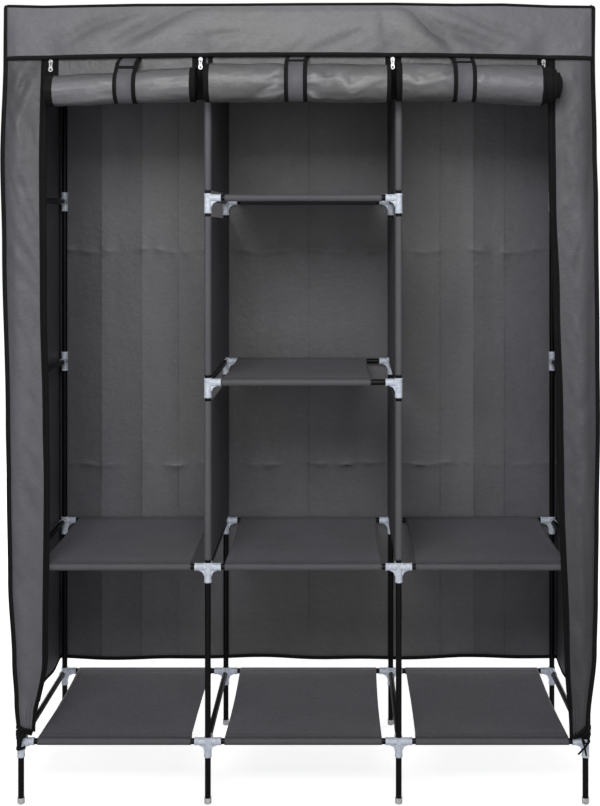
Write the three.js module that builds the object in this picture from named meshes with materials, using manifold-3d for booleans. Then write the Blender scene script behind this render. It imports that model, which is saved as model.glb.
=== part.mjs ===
// A portable fabric wardrobe: a push-fit frame of black steel tubes in plastic connectors, fabric
// shelves and partitions sleeved over the tubes, and a sewn cover with three doors rolled up under
// its header. Millimetres, +Z up, front towards -Y, origin on the floor under the middle of it all.
import * as THREE from "three";
import { mergeVertices } from "three/addons/utils/BufferGeometryUtils.js";
import Module from "manifold-3d";

const wasm = await Module();
wasm.setup();

// The frame: four columns of tube in front and four behind, with rails at five levels.
const centreBay = 418;
const outerBay = 409;
const frameDepth = 430;
const baseHeight = 136;
const lowerPitch = 382;
const upperPitch = 404;

// Tubes, and the plastic connectors that they push into.
const tubeRadius = 6.5;
const tubeWall = 0.6;
const fitGap = 0.3;
const socketWall = 1.2;
const armLength = 29;
const stemLength = 34;
const hubRise = 9;
const hubCap = 6;
const teeReach = 24;
const webReach = 7;
const webDip = 4;
const webThickness = 6;

// Feet.
const footHeight = 13;
const footFloor = 3;

// Cloth of the shelves and partitions.
const clothThickness = 1.2;
const sleeveSeam = 23;
const shelfSag = 5;
const shelfSetback = 8;
const partitionSetback = 7;

// The cover, outside the frame.
const coverThickness = 1.5;
const layerGap = 0.3;
const sideClearance = 6;
const coverFlare = 18;
const hemRise = 29;
const hemWave = 5;
const bindingWidth = 8;
const bindingThickness = 3;
const headerHeight = 107;
const headerArch = 9;
const headerFold = 3;
const headerFoldPitch = 210;
const headerTuck = 8;
const stileWidth = 95;
const stileFold = 3;
const backFold = 5;

// Rolled doors, their straps and their zips.
const doorThickness = 2;
const rollRadius = 40;
const rollOverrun = 40;
const rollStep = 1;
const strapWidth = 49;
const strapThickness = 1.5;
const tapeThickness = 1.5;
const tapeDrop = 38;
const zipOffset = 14;
const zipClearance = 8;
const sliderWidth = 9;
const sliderHeight = 13;
const sliderThickness = 3.2;
const sliderDrop = 1;
const bridgeWidth = 2.4;
const bridgeThickness = 1.2;
const bridgeHeight = 6;
const bridgeSpread = 2.4;
const pullLength = 21;
const pullWidth = 10;
const pullNeckWidth = 7;
const pullThickness = 1.2;
const pullBar = 1.4;
const pullSlotWidth = 3.8;
const pullSlotHeight = 7.2;
const pullEyeRadius = 2;
const pullPlay = 0.9;

// How finely round things and cloth are divided.
const tubeSides = 8;
const sleeveSteps = 5;
const sagSteps = 4;
const coverSteps = 12;
const rollSides = 10;
const rollTurns = 4;

// Radii that follow.
const boreRadius = tubeRadius + fitGap;
const socketRadius = boreRadius + socketWall;
const sleeveFacet = Math.cos(Math.PI / sleeveSteps / 2);
const sleeveRadius = (boreRadius + clothThickness / 2) / sleeveFacet;
const sleeveReach = Math.max(sleeveRadius + clothThickness / 2 / sleeveFacet, socketRadius);

// Places of the frame.
const frontTubes = -frameDepth / 2;
const backTubes = frameDepth / 2;
const rows = { front: frontTubes, back: backTubes };
const levels = {
  base: baseHeight,
  lower: baseHeight + lowerPitch,
  middle: baseHeight + lowerPitch + upperPitch,
  upper: baseHeight + lowerPitch + 2 * upperPitch,
  top: baseHeight + lowerPitch + 3 * upperPitch,
};
const columns = {
  left_outer: -centreBay / 2 - outerBay,
  left_inner: -centreBay / 2,
  right_inner: centreBay / 2,
  right_outer: centreBay / 2 + outerBay,
};
const columnPlaces = Object.values(columns);
const bays = {
  left: [columns.left_outer, columns.left_inner],
  centre: [columns.left_inner, columns.right_inner],
  right: [columns.right_inner, columns.right_outer],
};
const postFoot = footFloor + fitGap;
const postTop = levels.top + hubRise - hubCap;

// Layers of cloth in front of the frame, from the tubes outwards: the strap where it comes back up,
// the door, the stile with its zip tape, and the header.
const strapRear = frontTubes - sleeveReach - layerGap - strapThickness / 2;
const doorPlane = strapRear - strapThickness / 2 - layerGap - doorThickness / 2;
const stilePlane = doorPlane - doorThickness / 2 - layerGap - tapeThickness / 2;
const headerPlane = stilePlane - tapeThickness / 2 - layerGap - coverThickness / 2;
const stileFront = stilePlane - tapeThickness / 2;
const rollBack = stileFront - layerGap;

// Places of the cover.
const backHalfWidth = columns.right_outer + socketRadius + sideClearance;
const coverHalfWidth = backHalfWidth + coverFlare;
const backPlane = backTubes + sleeveReach + layerGap + coverThickness / 2;
const roofUnderside = levels.top + hubRise + layerGap;
const roofTop = roofUnderside + coverThickness;
const panelTop = roofUnderside - layerGap;

// The roof sags between the columns until it lies on the rails.
const roofSag = hubRise - tubeRadius;
const hemHeight = baseHeight + hemRise;
const headerHem = roofTop - headerHeight;
const hemAt = (x) => headerHem - headerArch * (x / coverHalfWidth) ** 2;

const looks = {
  tube: { color: "#141416", roughness: 0.35, metalness: 0.4 },
  connector: { color: "#ccd4df", roughness: 0.5, metalness: 0 },
  cloth: { color: "#5d5d62", roughness: 0.95, metalness: 0 },
  binding: { color: "#1d1d1f", roughness: 0.9, metalness: 0 },
  zip: { color: "#c9ccd0", roughness: 0.3, metalness: 0.9 },
};

const wardrobe = new THREE.Group();

// Sorts a geometry's faces into two groups, the second for the faces whose middle is trim.
function groupFaces(geometry, isTrim) {
  const place = geometry.getAttribute("position");
  const order = [...geometry.index.array];
  const groups = [[], []];
  for (let i = 0; i < order.length; i += 3) {
    const face = order.slice(i, i + 3);
    const middle = new THREE.Vector3();
    face.forEach((k) => middle.add(new THREE.Vector3().fromBufferAttribute(place, k)));
    groups[isTrim(middle.divideScalar(face.length)) ? 1 : 0].push(...face);
  }
  geometry.setIndex(groups.flat());
  geometry.addGroup(0, groups[0].length, 0);
  geometry.addGroup(groups[0].length, groups[1].length, 1);
}

// Adds a named piece in one look, or in a look and a trim that shows where isTrim says.
function piece(name, geometry, look, trim, isTrim) {
  geometry.computeVertexNormals();
  const material = (key) => new THREE.MeshStandardMaterial({ ...looks[key], flatShading: true });
  if (trim) groupFaces(geometry, isTrim);
  const mesh = new THREE.Mesh(geometry, trim ? [material(look), material(trim)] : material(look));
  mesh.name = name;
  wardrobe.add(mesh);
  return mesh;
}

function solidOf(geometry) {
  const bare = geometry.clone();
  bare.deleteAttribute("normal");
  bare.deleteAttribute("uv");
  const merged = mergeVertices(bare);
  return new wasm.Manifold(
    new wasm.Mesh({
      numProp: 3,
      vertProperties: merged.getAttribute("position").array,
      triVerts: new Uint32Array(merged.index.array),
    }),
  );
}

function geometryOf(solid) {
  const mesh = solid.getMesh();
  const geometry = new THREE.BufferGeometry();
  geometry.setAttribute("position", new THREE.BufferAttribute(mesh.vertProperties, 3));
  geometry.setIndex(new THREE.BufferAttribute(mesh.triVerts, 1));
  return geometry;
}

const joined = (geometries) => geometries.map(solidOf).reduce((all, next) => all.add(next));

const points = (pairs) => pairs.map(([a, b]) => new THREE.Vector2(a, b));

const spread = (from, to, steps) =>
  Array.from({ length: steps + 1 }, (_, i) => from + ((to - from) * i) / steps);

const between = ([from, to], share) => from + (to - from) * share;

// Reads a table of [share, value] pairs in rising shares, straight between them.
function readTable(table, share) {
  const next = table.findIndex(([at]) => at >= share);
  if (next < 0) return table.at(-1)[1];
  if (next === 0) return table[0][1];
  const [[before, from], [after, to]] = [table[next - 1], table[next]];
  return between([from, to], (share - before) / (after - before));
}

// A turned shape whose axis stands along Z. The profile is [radius, height] pairs.
const turned = (profile) =>
  new THREE.LatheGeometry(points(profile), tubeSides).rotateX(Math.PI / 2);

// The profile of a length of tube.
function tubeProfile(start, end) {
  const inner = tubeRadius - tubeWall;
  return [
    [inner, start],
    [tubeRadius, start],
    [tubeRadius, end],
    [inner, end],
    [inner, start],
  ];
}

// A round rod between two points that differ along one axis only.
function rod(radius, start, end) {
  const from = new THREE.Vector3(...start);
  const to = new THREE.Vector3(...end);
  const run = to.clone().sub(from);
  const shape = new THREE.CylinderGeometry(radius, radius, run.length(), tubeSides);
  if (run.z !== 0) shape.rotateX(Math.PI / 2);
  if (run.x !== 0) shape.rotateZ(Math.PI / 2);
  return shape.translate(...from.add(to).divideScalar(2));
}

// A plate whose outline is given in (x, z), lying from y to y + thickness.
function plate(outline, y, thickness, curveSegments) {
  const shape = outline instanceof THREE.Shape ? outline : new THREE.Shape(points(outline));
  const geometry = new THREE.ExtrudeGeometry(shape, {
    depth: thickness,
    bevelEnabled: false,
    curveSegments,
  });
  return geometry.rotateX(Math.PI / 2).translate(0, y + thickness, 0);
}

// The two edges of a strip of the given thickness that follows a line of 2D points.
function strip(line, thickness) {
  const offsets = line.map((point, i) => {
    const into = point.clone().sub(line[Math.max(i - 1, 0)]).normalize();
    const out = line[Math.min(i + 1, line.length - 1)].clone().sub(point).normalize();
    const along = into.clone().add(out).normalize();
    const mitre = 1 / along.dot(out.lengthSq() ? out : into);
    return new THREE.Vector2(-along.y, along.x).multiplyScalar((mitre * thickness) / 2);
  });
  return [
    ...line.map((point, i) => point.clone().sub(offsets[i])),
    ...line.map((point, i) => point.clone().add(offsets[i])).reverse(),
  ];
}

// A closed skin over strips of equally many points; place(k, p) sets point p of strip k.
function loft(strips, place) {
  const count = strips[0].length;
  const vertices = strips.flatMap((edge, k) => edge.flatMap((p) => place(k, p).toArray()));
  const faces = [];
  for (let k = 0; k + 1 < strips.length; k++) {
    for (let i = 0; i < count; i++) {
      const [a, b] = [k * count + i, k * count + ((i + 1) % count)];
      faces.push([a, b, b + count], [a, b + count, a + count]);
    }
  }
  for (const [start, flipped] of [
    [0, true],
    [(strips.length - 1) * count, false],
  ]) {
    for (let i = 0; i + 1 < count / 2; i++) {
      const [a, b] = [start + i, start + i + 1];
      const [c, d] = [start + count - 2 - i, start + count - 1 - i];
      const caps = [
        [a, b, c],
        [a, c, d],
      ];
      faces.push(...caps.map((face) => (flipped ? face.reverse() : face)));
    }
  }
  const corner = (i) => new THREE.Vector3().fromArray(vertices, 3 * i);
  const volume = faces.reduce(
    (sum, [a, b, c]) => sum + corner(a).dot(corner(b).cross(corner(c))),
    0,
  );
  if (volume < 0) faces.forEach((face) => face.reverse());
  const geometry = new THREE.BufferGeometry();
  geometry.setAttribute("position", new THREE.Float32BufferAttribute(vertices, 3));
  geometry.setIndex(faces.flat());
  return geometry;
}

// Strips in (y, z) set along X, and strips in (x, y) set up along Z.
const alongX = (xs) => (k, p) => new THREE.Vector3(xs[k], p.x, p.y);
const alongZ = (zs) => (k, p) => new THREE.Vector3(p.x, p.y, zs[k]);

// One column's tubes, stacked through its connectors from its foot to its top connector.
function post(name, x, y) {
  const shape = turned(tubeProfile(postFoot, postTop));
  piece(name, shape, "tube").position.set(x, y, 0);
}

function foot(name, x, y) {
  const cup = turned([
    [0, 0],
    [socketRadius, 0],
    [socketRadius, footHeight],
    [boreRadius, footHeight],
    [boreRadius, footFloor],
    [0, footFloor],
  ]);
  piece(name, cup, "connector").position.set(x, y, 0);
}

// The web that fills the corner between an arm, along +X or -X, and the stem below it.
function web(x, y, z, direction) {
  const reach = socketRadius + webReach;
  const dip = socketRadius + webReach - webDip;
  const outline = [
    [x, z],
    [x, z - reach],
    [x + direction * dip, z - dip],
    [x + direction * reach, z],
  ];
  return plate(outline, y - webThickness / 2, webThickness);
}

// A connector on a column: its upright hub, its arm along the depth and its arms along X.
function connector(x, y, z, arms) {
  const inward = -Math.sign(y);
  return [
    rod(socketRadius, [x, y, z - stemLength], [x, y, z + hubRise]),
    rod(socketRadius, [x, y, z], [x, y + inward * armLength, z]),
    ...arms.map((way) => rod(socketRadius, [x, y, z], [x + way * armLength, y, z])),
    ...arms.map((way) => web(x, y, z, way)),
  ];
}

// Says whether a place on a frame is on a connector, which reaches an arm's length from its middle.
function onConnector(middles) {
  return (p) =>
    middles.some(([x, y]) => {
      const apart = [Math.abs(p.x - x), Math.abs(p.y - y)];
      return Math.max(...apart) <= armLength && Math.min(...apart) <= socketRadius;
    });
}

// One level of the frame: a connector on each given column, rails between neighbours and a depth
// rail at each column. The extra fittings are [shapes, bores, middles].
function levelFrame(name, z, places, boreTop, [shapes, bores, middles] = [[], [], []]) {
  const solids = [...shapes];
  const cuts = [...bores];
  const spots = [...middles];
  places.forEach((x, i) => {
    const arms = [];
    if (i > 0) arms.push(-1);
    if (i + 1 < places.length) arms.push(1);
    for (const y of Object.values(rows)) {
      solids.push(...connector(x, y, z, arms));
      cuts.push(rod(boreRadius, [x, y, z - stemLength - fitGap], [x, y, boreTop]));
      spots.push([x, y]);
      if (i > 0) solids.push(rod(tubeRadius, [places[i - 1], y, z], [x, y, z]));
    }
    solids.push(rod(tubeRadius, [x, frontTubes, z], [x, backTubes, z]));
  });
  const solid = joined(solids).subtract(joined(cuts));
  piece(name, geometryOf(solid), "tube", "connector", onConnector(spots));
}

// A side brace joins the front and back outer posts with a tee on each.
function sideBrace(name, x, z) {
  const ends = Object.values(rows);
  const [low, high] = [z - teeReach, z + teeReach];
  const tees = ends.flatMap((y) => [
    rod(socketRadius, [x, y, low], [x, y, high]),
    rod(socketRadius, [x, y, z], [x, y - Math.sign(y) * armLength, z]),
  ]);
  const rail = rod(tubeRadius, [x, frontTubes, z], [x, backTubes, z]);
  const bores = ends.map((y) => rod(boreRadius, [x, y, low - fitGap], [x, y, high + fitGap]));
  const solid = joined([...tees, rail]).subtract(joined(bores));
  const middles = ends.map((y) => [x, y]);
  piece(name, geometryOf(solid), "tube", "connector", onConnector(middles));
}

// Tees half way along the outer bays' top depth rails, whose arms take the hanging rails.
function railTees() {
  const z = levels.top;
  const tees = [bays.left, bays.right].flatMap(([from, to]) => [
    [from, 1],
    [to, -1],
  ]);
  const shapes = tees.flatMap(([x, way]) => [
    rod(socketRadius, [x, -teeReach, z], [x, teeReach, z]),
    rod(socketRadius, [x, 0, z], [x + way * armLength, 0, z]),
  ]);
  const bores = tees.map(([x, way]) => {
    const mouth = x + way * (armLength + fitGap);
    return rod(boreRadius, [x + way * socketRadius, 0, z], [mouth, 0, z]);
  });
  return [shapes, bores, tees.map(([x]) => [x, 0])];
}

function hangingRail(name, [from, to]) {
  const inset = socketRadius + fitGap;
  const shape = turned(tubeProfile(from + inset, to - inset)).rotateY(Math.PI / 2);
  piece(name, shape, "tube").position.set(0, 0, levels.top);
}

for (const [row, y] of Object.entries(rows)) {
  for (const [column, x] of Object.entries(columns)) {
    post(`post_${row}_${column}`, x, y);
    foot(`foot_${row}_${column}`, x, y);
  }
}
const innerColumns = [columns.left_inner, columns.right_inner];
const openBore = (z) => z + hubRise + fitGap;
levelFrame("base_frame", levels.base, columnPlaces, openBore(levels.base));
levelFrame("lower_frame", levels.lower, columnPlaces, openBore(levels.lower));
levelFrame("centre_frame_middle", levels.middle, innerColumns, openBore(levels.middle));
levelFrame("centre_frame_upper", levels.upper, innerColumns, openBore(levels.upper));
levelFrame("top_frame", levels.top, columnPlaces, postTop + fitGap, railTees());
for (const side of ["left", "right"]) {
  sideBrace(`side_brace_${side}_middle`, columns[`${side}_outer`], levels.middle);
  sideBrace(`side_brace_${side}_upper`, columns[`${side}_outer`], levels.upper);
  hangingRail(`hanging_rail_${side}`, bays[side]);
}

// Half of a sleeved cloth's line, from its seam, round a tube at the origin and over its top.
function sleeveLine(seamHeight) {
  const seam = new THREE.Vector2(sleeveSeam, seamHeight);
  const start = seam.angle() - Math.acos(sleeveRadius / seam.length());
  const turns = spread(start, -3 * (Math.PI / 2), sleeveSteps);
  return [
    seam,
    ...turns.map(
      (turn) => new THREE.Vector2(Math.cos(turn), Math.sin(turn)).multiplyScalar(sleeveRadius),
    ),
  ];
}

// A cloth sleeved over two parallel tubes, its line's first axis from the first to the second.
function sleevedLine(sag) {
  const dipAt = (share) => sag * Math.sin(Math.PI * share);
  const seamHeight = sleeveRadius - clothThickness - layerGap - dipAt(sleeveSeam / frameDepth);
  const first = sleeveLine(seamHeight);
  const second = first.map((p) => new THREE.Vector2(frameDepth - p.x, p.y)).reverse();
  const middle = spread(0, 1, sagSteps)
    .slice(1, -1)
    .map((share) => new THREE.Vector2(frameDepth * share, sleeveRadius - dipAt(share)));
  return [...first, ...middle, ...second];
}

function shelf(name, [from, to], z) {
  const margin = armLength + shelfSetback;
  const line = sleevedLine(shelfSag).map((p) => new THREE.Vector2(frontTubes + p.x, z + p.y));
  const edge = strip(line, clothThickness);
  const shape = loft([edge, edge], alongX([from + margin, to - margin]));
  piece(name, shape, "cloth");
}

// A partition's cloth lies on the side of its posts that faces the centre bay.
function partition(name, x, from, to) {
  const ends = [from + hubRise + partitionSetback, to - stemLength - partitionSetback];
  const side = -Math.sign(x);
  const line = sleevedLine(0).map((p) => new THREE.Vector2(x + side * p.y, frontTubes + p.x));
  const edge = strip(line, clothThickness);
  piece(name, loft([edge, edge], alongZ(ends)), "cloth");
}

for (const [bay, places] of Object.entries(bays)) {
  shelf(`shelf_base_${bay}`, places, levels.base);
  shelf(`shelf_lower_${bay}`, places, levels.lower);
}
shelf("shelf_middle_centre", bays.centre, levels.middle);
shelf("shelf_upper_centre", bays.centre, levels.upper);
for (const side of ["left", "right"]) {
  const x = columns[`${side}_inner`];
  partition(`partition_${side}_lower`, x, levels.lower, levels.middle);
  partition(`partition_${side}_middle`, x, levels.middle, levels.upper);
  partition(`partition_${side}_upper`, x, levels.upper, levels.top);
}

// How far out each side stands, as a share of the half width, at shares down from the roof.
const sideReachShares = {
  left: [
    [0.07, 1],
    [0.21, 1.011],
    [0.38, 1.004],
    [0.57, 0.995],
    [0.79, 0.986],
    [0.96, 0.966],
    [1, 0.96],
  ],
  right: [
    [0.07, 0.978],
    [0.2, 0.983],
    [0.49, 0.994],
    [0.82, 0.987],
    [0.96, 0.975],
    [1, 0.963],
  ],
};

// How wide each front stile is, as a share of the stile width, at shares down from the roof.
const stileWidthShares = {
  left: [
    [0.07, 0.98],
    [0.38, 1],
    [0.57, 0.99],
    [0.8, 0.96],
    [0.9, 0.84],
    [0.96, 0.6],
    [1, 0.45],
  ],
  right: [
    [0.07, 1.1],
    [0.2, 1.1],
    [0.45, 1.03],
    [0.65, 0.93],
    [0.82, 0.76],
    [0.9, 0.7],
    [1, 0.45],
  ],
};
const foldStartShare = 0.15;
const sideDepthShares = [1, 0.75, 0.5, 0.25];
const stileShares = [0.25, 0.5, 0.75, 1];

const stileReach = (side, share) =>
  coverHalfWidth * readTable(sideReachShares[side], share) - bindingWidth;
const stileEdge = (side, share) =>
  stileReach(side, share) - stileWidth * readTable(stileWidthShares[side], share);
const roofEnds = [-stileReach("left", 0), stileReach("right", 0)];

// A side panel and its front stile in plan, from the back corner, past the front post, round to
// the stile's edge.
function sideLine(side, share) {
  const sign = side === "left" ? -1 : 1;
  const reach = stileReach(side, share);
  const width = reach - stileEdge(side, share);
  const backEnd = backPlane - coverThickness / 2 - layerGap;
  const sway = Math.sin(Math.PI * Math.max(0, (share - foldStartShare) / (1 - foldStartShare)));
  const postReach = socketRadius + layerGap + coverThickness;
  const depths = [
    ...sideDepthShares.map((depth) => between([stilePlane, backEnd], depth)),
    frontTubes + postReach,
    frontTubes - postReach,
  ];
  const flank = depths.map((y) => {
    const x = between([reach, backHalfWidth], (y - stilePlane) / (backEnd - stilePlane));
    return new THREE.Vector2(sign * Math.max(x, columns.right_outer + postReach), y);
  });
  const stile = stileShares.map((along) => {
    const fold = sway * stileFold * Math.abs(Math.sin(Math.PI * (2 * along + share)));
    return new THREE.Vector2(sign * (reach - along * width), stilePlane - fold);
  });
  return [...flank, new THREE.Vector2(sign * reach, stilePlane), ...stile];
}

function coverSide(side) {
  const sign = side === "left" ? -1 : 1;
  const shares = spread(0, 1, coverSteps);
  const heights = shares.map((share) => between([panelTop, hemHeight], share));
  const panel = shares.map((share) => strip(sideLine(side, share), coverThickness));
  const binding = shares.map((share) => {
    const reach = stileReach(side, share);
    const line = [reach - bindingThickness / 2, reach + bindingWidth];
    return strip(points(line.map((x) => [sign * x, stilePlane])), bindingThickness);
  });
  const solid = joined([loft(panel, alongZ(heights)), loft(binding, alongZ(heights))]);
  const isBound = (p) =>
    sign * p.x > stileReach(side, (panelTop - p.z) / (panelTop - hemHeight));
  piece(`cover_side_${side}`, geometryOf(solid), "cloth", "binding", isBound);
}

// The zips hang from the header: two at the stiles' edges and two before the inner posts.
const hemShare = (panelTop - headerHem) / (panelTop - hemHeight);
const zips = {
  left_outer: -stileEdge("left", hemShare),
  left_inner: columns.left_inner - zipOffset,
  right_inner: columns.right_inner - zipOffset,
  right_outer: stileEdge("right", hemShare),
};

// The stretch of zip tape that a zip's tab covers, which stops short of a stile.
function tapeEnds(place, x) {
  const reach = zipClearance - layerGap;
  const ends = [x - reach, x + reach];
  if (place === "left_outer") ends[0] = x + layerGap;
  if (place === "right_outer") ends[1] = x - layerGap;
  return ends;
}

// Folds that slant up across the header from both ends, and fade towards its bound top.
const foldSlopeShare = 1.7;

function headerDrape(x, z) {
  const swell = Math.sin(Math.PI * Math.min(Math.abs(x) / coverHalfWidth, 1)) ** 2;
  const phase = (Math.abs(x) + foldSlopeShare * (z - headerHem)) / headerFoldPitch;
  const calm = Math.max(roofTop - z, 0) / headerHeight;
  return headerFold * swell * calm * Math.abs(Math.sin(Math.PI * phase));
}

function coverHeader() {
  const inset = bindingThickness / 2 + layerGap;
  const xs = spread(roofEnds[0] + inset, roofEnds[1] - inset, 2 * coverSteps);
  const sheet = xs.map((x) => {
    const heights = [...spread(hemAt(x), roofTop, sagSteps), roofTop + bindingWidth];
    const line = heights.map((z) => new THREE.Vector2(headerPlane - headerDrape(x, z), z));
    return strip(line, coverThickness);
  });
  const tabs = Object.entries(zips).map(([place, x]) => {
    const hem = hemAt(x);
    const hanging = points([
      [stilePlane, hem + headerTuck],
      [stilePlane, hem - tapeDrop],
    ]);
    const edge = strip(hanging, tapeThickness);
    return loft([edge, edge], alongX(tapeEnds(place, x)));
  });
  const seams = Object.entries(zips).map(([place, x]) => {
    const rise = hemAt(x) + headerTuck / 2;
    const line = points([
      [stilePlane, rise],
      [headerPlane - headerDrape(x, rise), rise],
    ]);
    const edge = strip(line, headerTuck / 2);
    return loft([edge, edge], alongX(tapeEnds(place, x)));
  });
  const solid = joined([loft(sheet, alongX(xs)), ...tabs, ...seams]);
  const isBound = (p) => p.z > roofTop || p.z < hemAt(p.x);
  piece("cover_header", geometryOf(solid), "cloth", "binding", isBound);
}

function coverRoof() {
  const inner = columnPlaces.slice(0, -1).flatMap((x, i) =>
    spread(x, columnPlaces[i + 1], sagSteps).slice(0, -1),
  );
  const xs = [roofEnds[0], ...inner, columns.right_outer, roofEnds[1]];
  const [front, back] = [headerPlane + coverThickness / 2 + layerGap, backPlane + backFold];
  const dipAt = (x) => {
    const bay = Object.values(bays).find(([from, to]) => x >= from && x < to);
    return bay ? roofSag * Math.sin((Math.PI * (x - bay[0])) / (bay[1] - bay[0])) : 0;
  };
  const strips = xs.map((x) => {
    const line = spread(0, 1, sagSteps).map((share) => {
      const dip = dipAt(x) * Math.sin(Math.PI * share) ** 2;
      return new THREE.Vector2(between([front, back], share), roofTop - coverThickness / 2 - dip);
    });
    return strip(line, coverThickness);
  });
  piece("cover_roof", loft(strips, alongX(xs)), "cloth");
}

// Creases left from folding the back panel, as shares of its half width.
const creaseShares = [-0.83, -0.67, -0.52, 0, 0.53, 0.67, 0.79];

function coverBack() {
  const edges = [-1, ...creaseShares, 1];
  const swells = edges.slice(1).map((share, i) => (share + edges[i]) / 2);
  const shares = [...edges, ...swells].sort((a, b) => a - b);
  const xs = shares.map((share) => share * backHalfWidth);
  const strips = shares.map((share) => {
    const swell = swells.includes(share) ? backFold : 0;
    const hem = hemHeight - hemWave * Math.sin(3 * Math.PI * share);
    const line = spread(hem, panelTop, 2 * sagSteps).map((z, k, all) => {
      const hang = Math.sin((Math.PI * k) / (all.length - 1)) ** 2;
      return new THREE.Vector2(backPlane + swell * hang, z);
    });
    return strip(line, coverThickness);
  });
  piece("cover_back", loft(strips, alongX(xs)), "cloth");
}

// Each door's roll: where it starts and ends, its radius at both ends as shares of the roll
// radius, how far its middle hangs below the hem there as shares of it, and its strap's place.
const rollShares = {
  left: { radii: [0.72, 0.92], drops: [1.95, 1.6], strap: 0.52 },
  centre: { radii: [1, 0.92], drops: [1.42, 1.64], strap: 0.5 },
  right: { radii: [1, 0.9], drops: [1.42, 1.6], strap: 0.46 },
};
const rollEnds = {
  left: [zips.left_outer + zipClearance, zips.left_inner - zipClearance],
  centre: [zips.left_inner + zipClearance, zips.right_inner - zipClearance],
  right: [zips.right_inner + zipClearance, zips.right_outer - zipClearance - rollStep],
};

// Each turn winds in by this share of the roll's radius.
const windShare = 0.18;

// Where a roll's end shows its inner turns, they step in to these shares of its radius.
const overrunShares = [
  [0, 1],
  [0.45, 1],
  [0.45, 0.86],
  [1, 0.86],
];

const rollSection = (bay, share) => {
  const { radii, drops } = rollShares[bay];
  const radius = rollRadius * between(radii, share);
  const x = between(rollEnds[bay], share);
  return { x, radius, middle: rollBack - radius, height: hemAt(x) - rollRadius * between(drops, share) };
};

// Doors and straps hang straight for this far below the hem.
const hookDrop = 2 * strapThickness;

// A strap meets its roll this share of a half turn round from the back.
const strapStartShare = 0.42;

// The door's cloth in section: its tail, then the turns wound in from the roll's outside.
function rollLine({ middle, radius, height }, tail, turnShare = 1) {
  const steps = rollTurns * rollSides;
  const reach = turnShare * radius - doorThickness / 2;
  const wound = spread(0, rollTurns, steps).map((turn) => {
    const angle = 2 * Math.PI * turn;
    const arm = reach * (1 - windShare * turn);
    return new THREE.Vector2(middle + arm * Math.cos(angle), height - arm * Math.sin(angle));
  });
  return [...points(tail), ...wound];
}

function doorRoll(bay) {
  const sections = spread(0, 1, 2).map((share) => rollSection(bay, share));
  const xs = sections.map(({ x }) => x);
  const lines = sections.map((section) => {
    const hem = hemAt(section.x);
    const tail = [
      [doorPlane, hem + headerTuck],
      [doorPlane, hem - hookDrop],
    ];
    return rollLine(section, tail);
  });
  if (bay === "right") {
    const end = sections.at(-1);
    overrunShares.forEach(([share, turnShare], i) => {
      const tailPlane = end.middle + turnShare * end.radius - doorThickness / 2;
      const tail = [
        [tailPlane, end.height + doorThickness],
        [tailPlane, end.height + doorThickness / 2],
      ];
      xs.push(end.x + rollStep * (i + 1) + share * rollOverrun);
      lines.push(rollLine(end, tail, turnShare));
    });
  }
  const strips = lines.map((line) => strip(line, doorThickness));
  piece(`door_roll_${bay}`, loft(strips, alongX(xs)), "cloth");
}

// A strap hangs from the header in front of its roll and comes back up behind the door.

function rollStrap(bay) {
  const section = rollSection(bay, rollShares[bay].strap);
  const { x, middle, height } = section;
  const [seamTop, hook] = [hemAt(x) + headerTuck, hemAt(x) - hookDrop];
  const turns = spread(strapStartShare, 2, rollSides).map((turn) => Math.PI * turn);
  const openFacet = Math.cos((turns[1] - turns[0]) / 2);
  const reach = (section.radius + layerGap) / openFacet + strapThickness / 2;
  const wrap = turns.map(
    (turn) => new THREE.Vector2(middle + reach * Math.cos(turn), height + reach * Math.sin(turn)),
  );
  const line = [
    new THREE.Vector2(stilePlane, seamTop),
    new THREE.Vector2(stilePlane, hook),
    ...wrap,
    new THREE.Vector2(strapRear, hook),
    new THREE.Vector2(strapRear, seamTop),
  ];
  const edge = strip(line, strapThickness);
  const shape = loft([edge, edge], alongX([x - strapWidth / 2, x + strapWidth / 2]));
  piece(`roll_strap_${bay}`, shape, "binding");
}

// A slider and its pull are drawn round the pull's axis, which runs along X.
const sliderFace = pullThickness / 2 + pullPlay;
const pullAxis = (x) =>
  new THREE.Vector3(
    x,
    stileFront - layerGap - sliderThickness - sliderFace,
    hemAt(x) - sliderDrop - sliderHeight / 2,
  );

// A slider's shield narrows to this share of its width at its foot.
const shieldFootShare = 0.8;

function zipSlider(name, x) {
  const [half, tall] = [sliderWidth / 2, sliderHeight / 2];
  const shield = [
    [-half * shieldFootShare, -tall],
    [half * shieldFootShare, -tall],
    [half, tall - half / 2],
    [half / 2, tall],
    [-half / 2, tall],
    [-half, tall - half / 2],
  ];
  const rise = bridgeHeight / 2;
  const root = sliderFace + bridgeThickness;
  const bridgeFront = -sliderFace - bridgeThickness / 2;
  const arch = points([
    [root, rise + bridgeSpread],
    [bridgeFront, rise],
    [bridgeFront, -rise],
    [root, -rise - bridgeSpread],
  ]);
  const edge = strip(arch, bridgeThickness);
  const bridge = loft([edge, edge], alongX([-bridgeWidth / 2, bridgeWidth / 2]));
  const solid = joined([plate(shield, sliderFace, sliderThickness), bridge]);
  piece(name, geometryOf(solid), "zip").position.copy(pullAxis(x));
}

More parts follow.
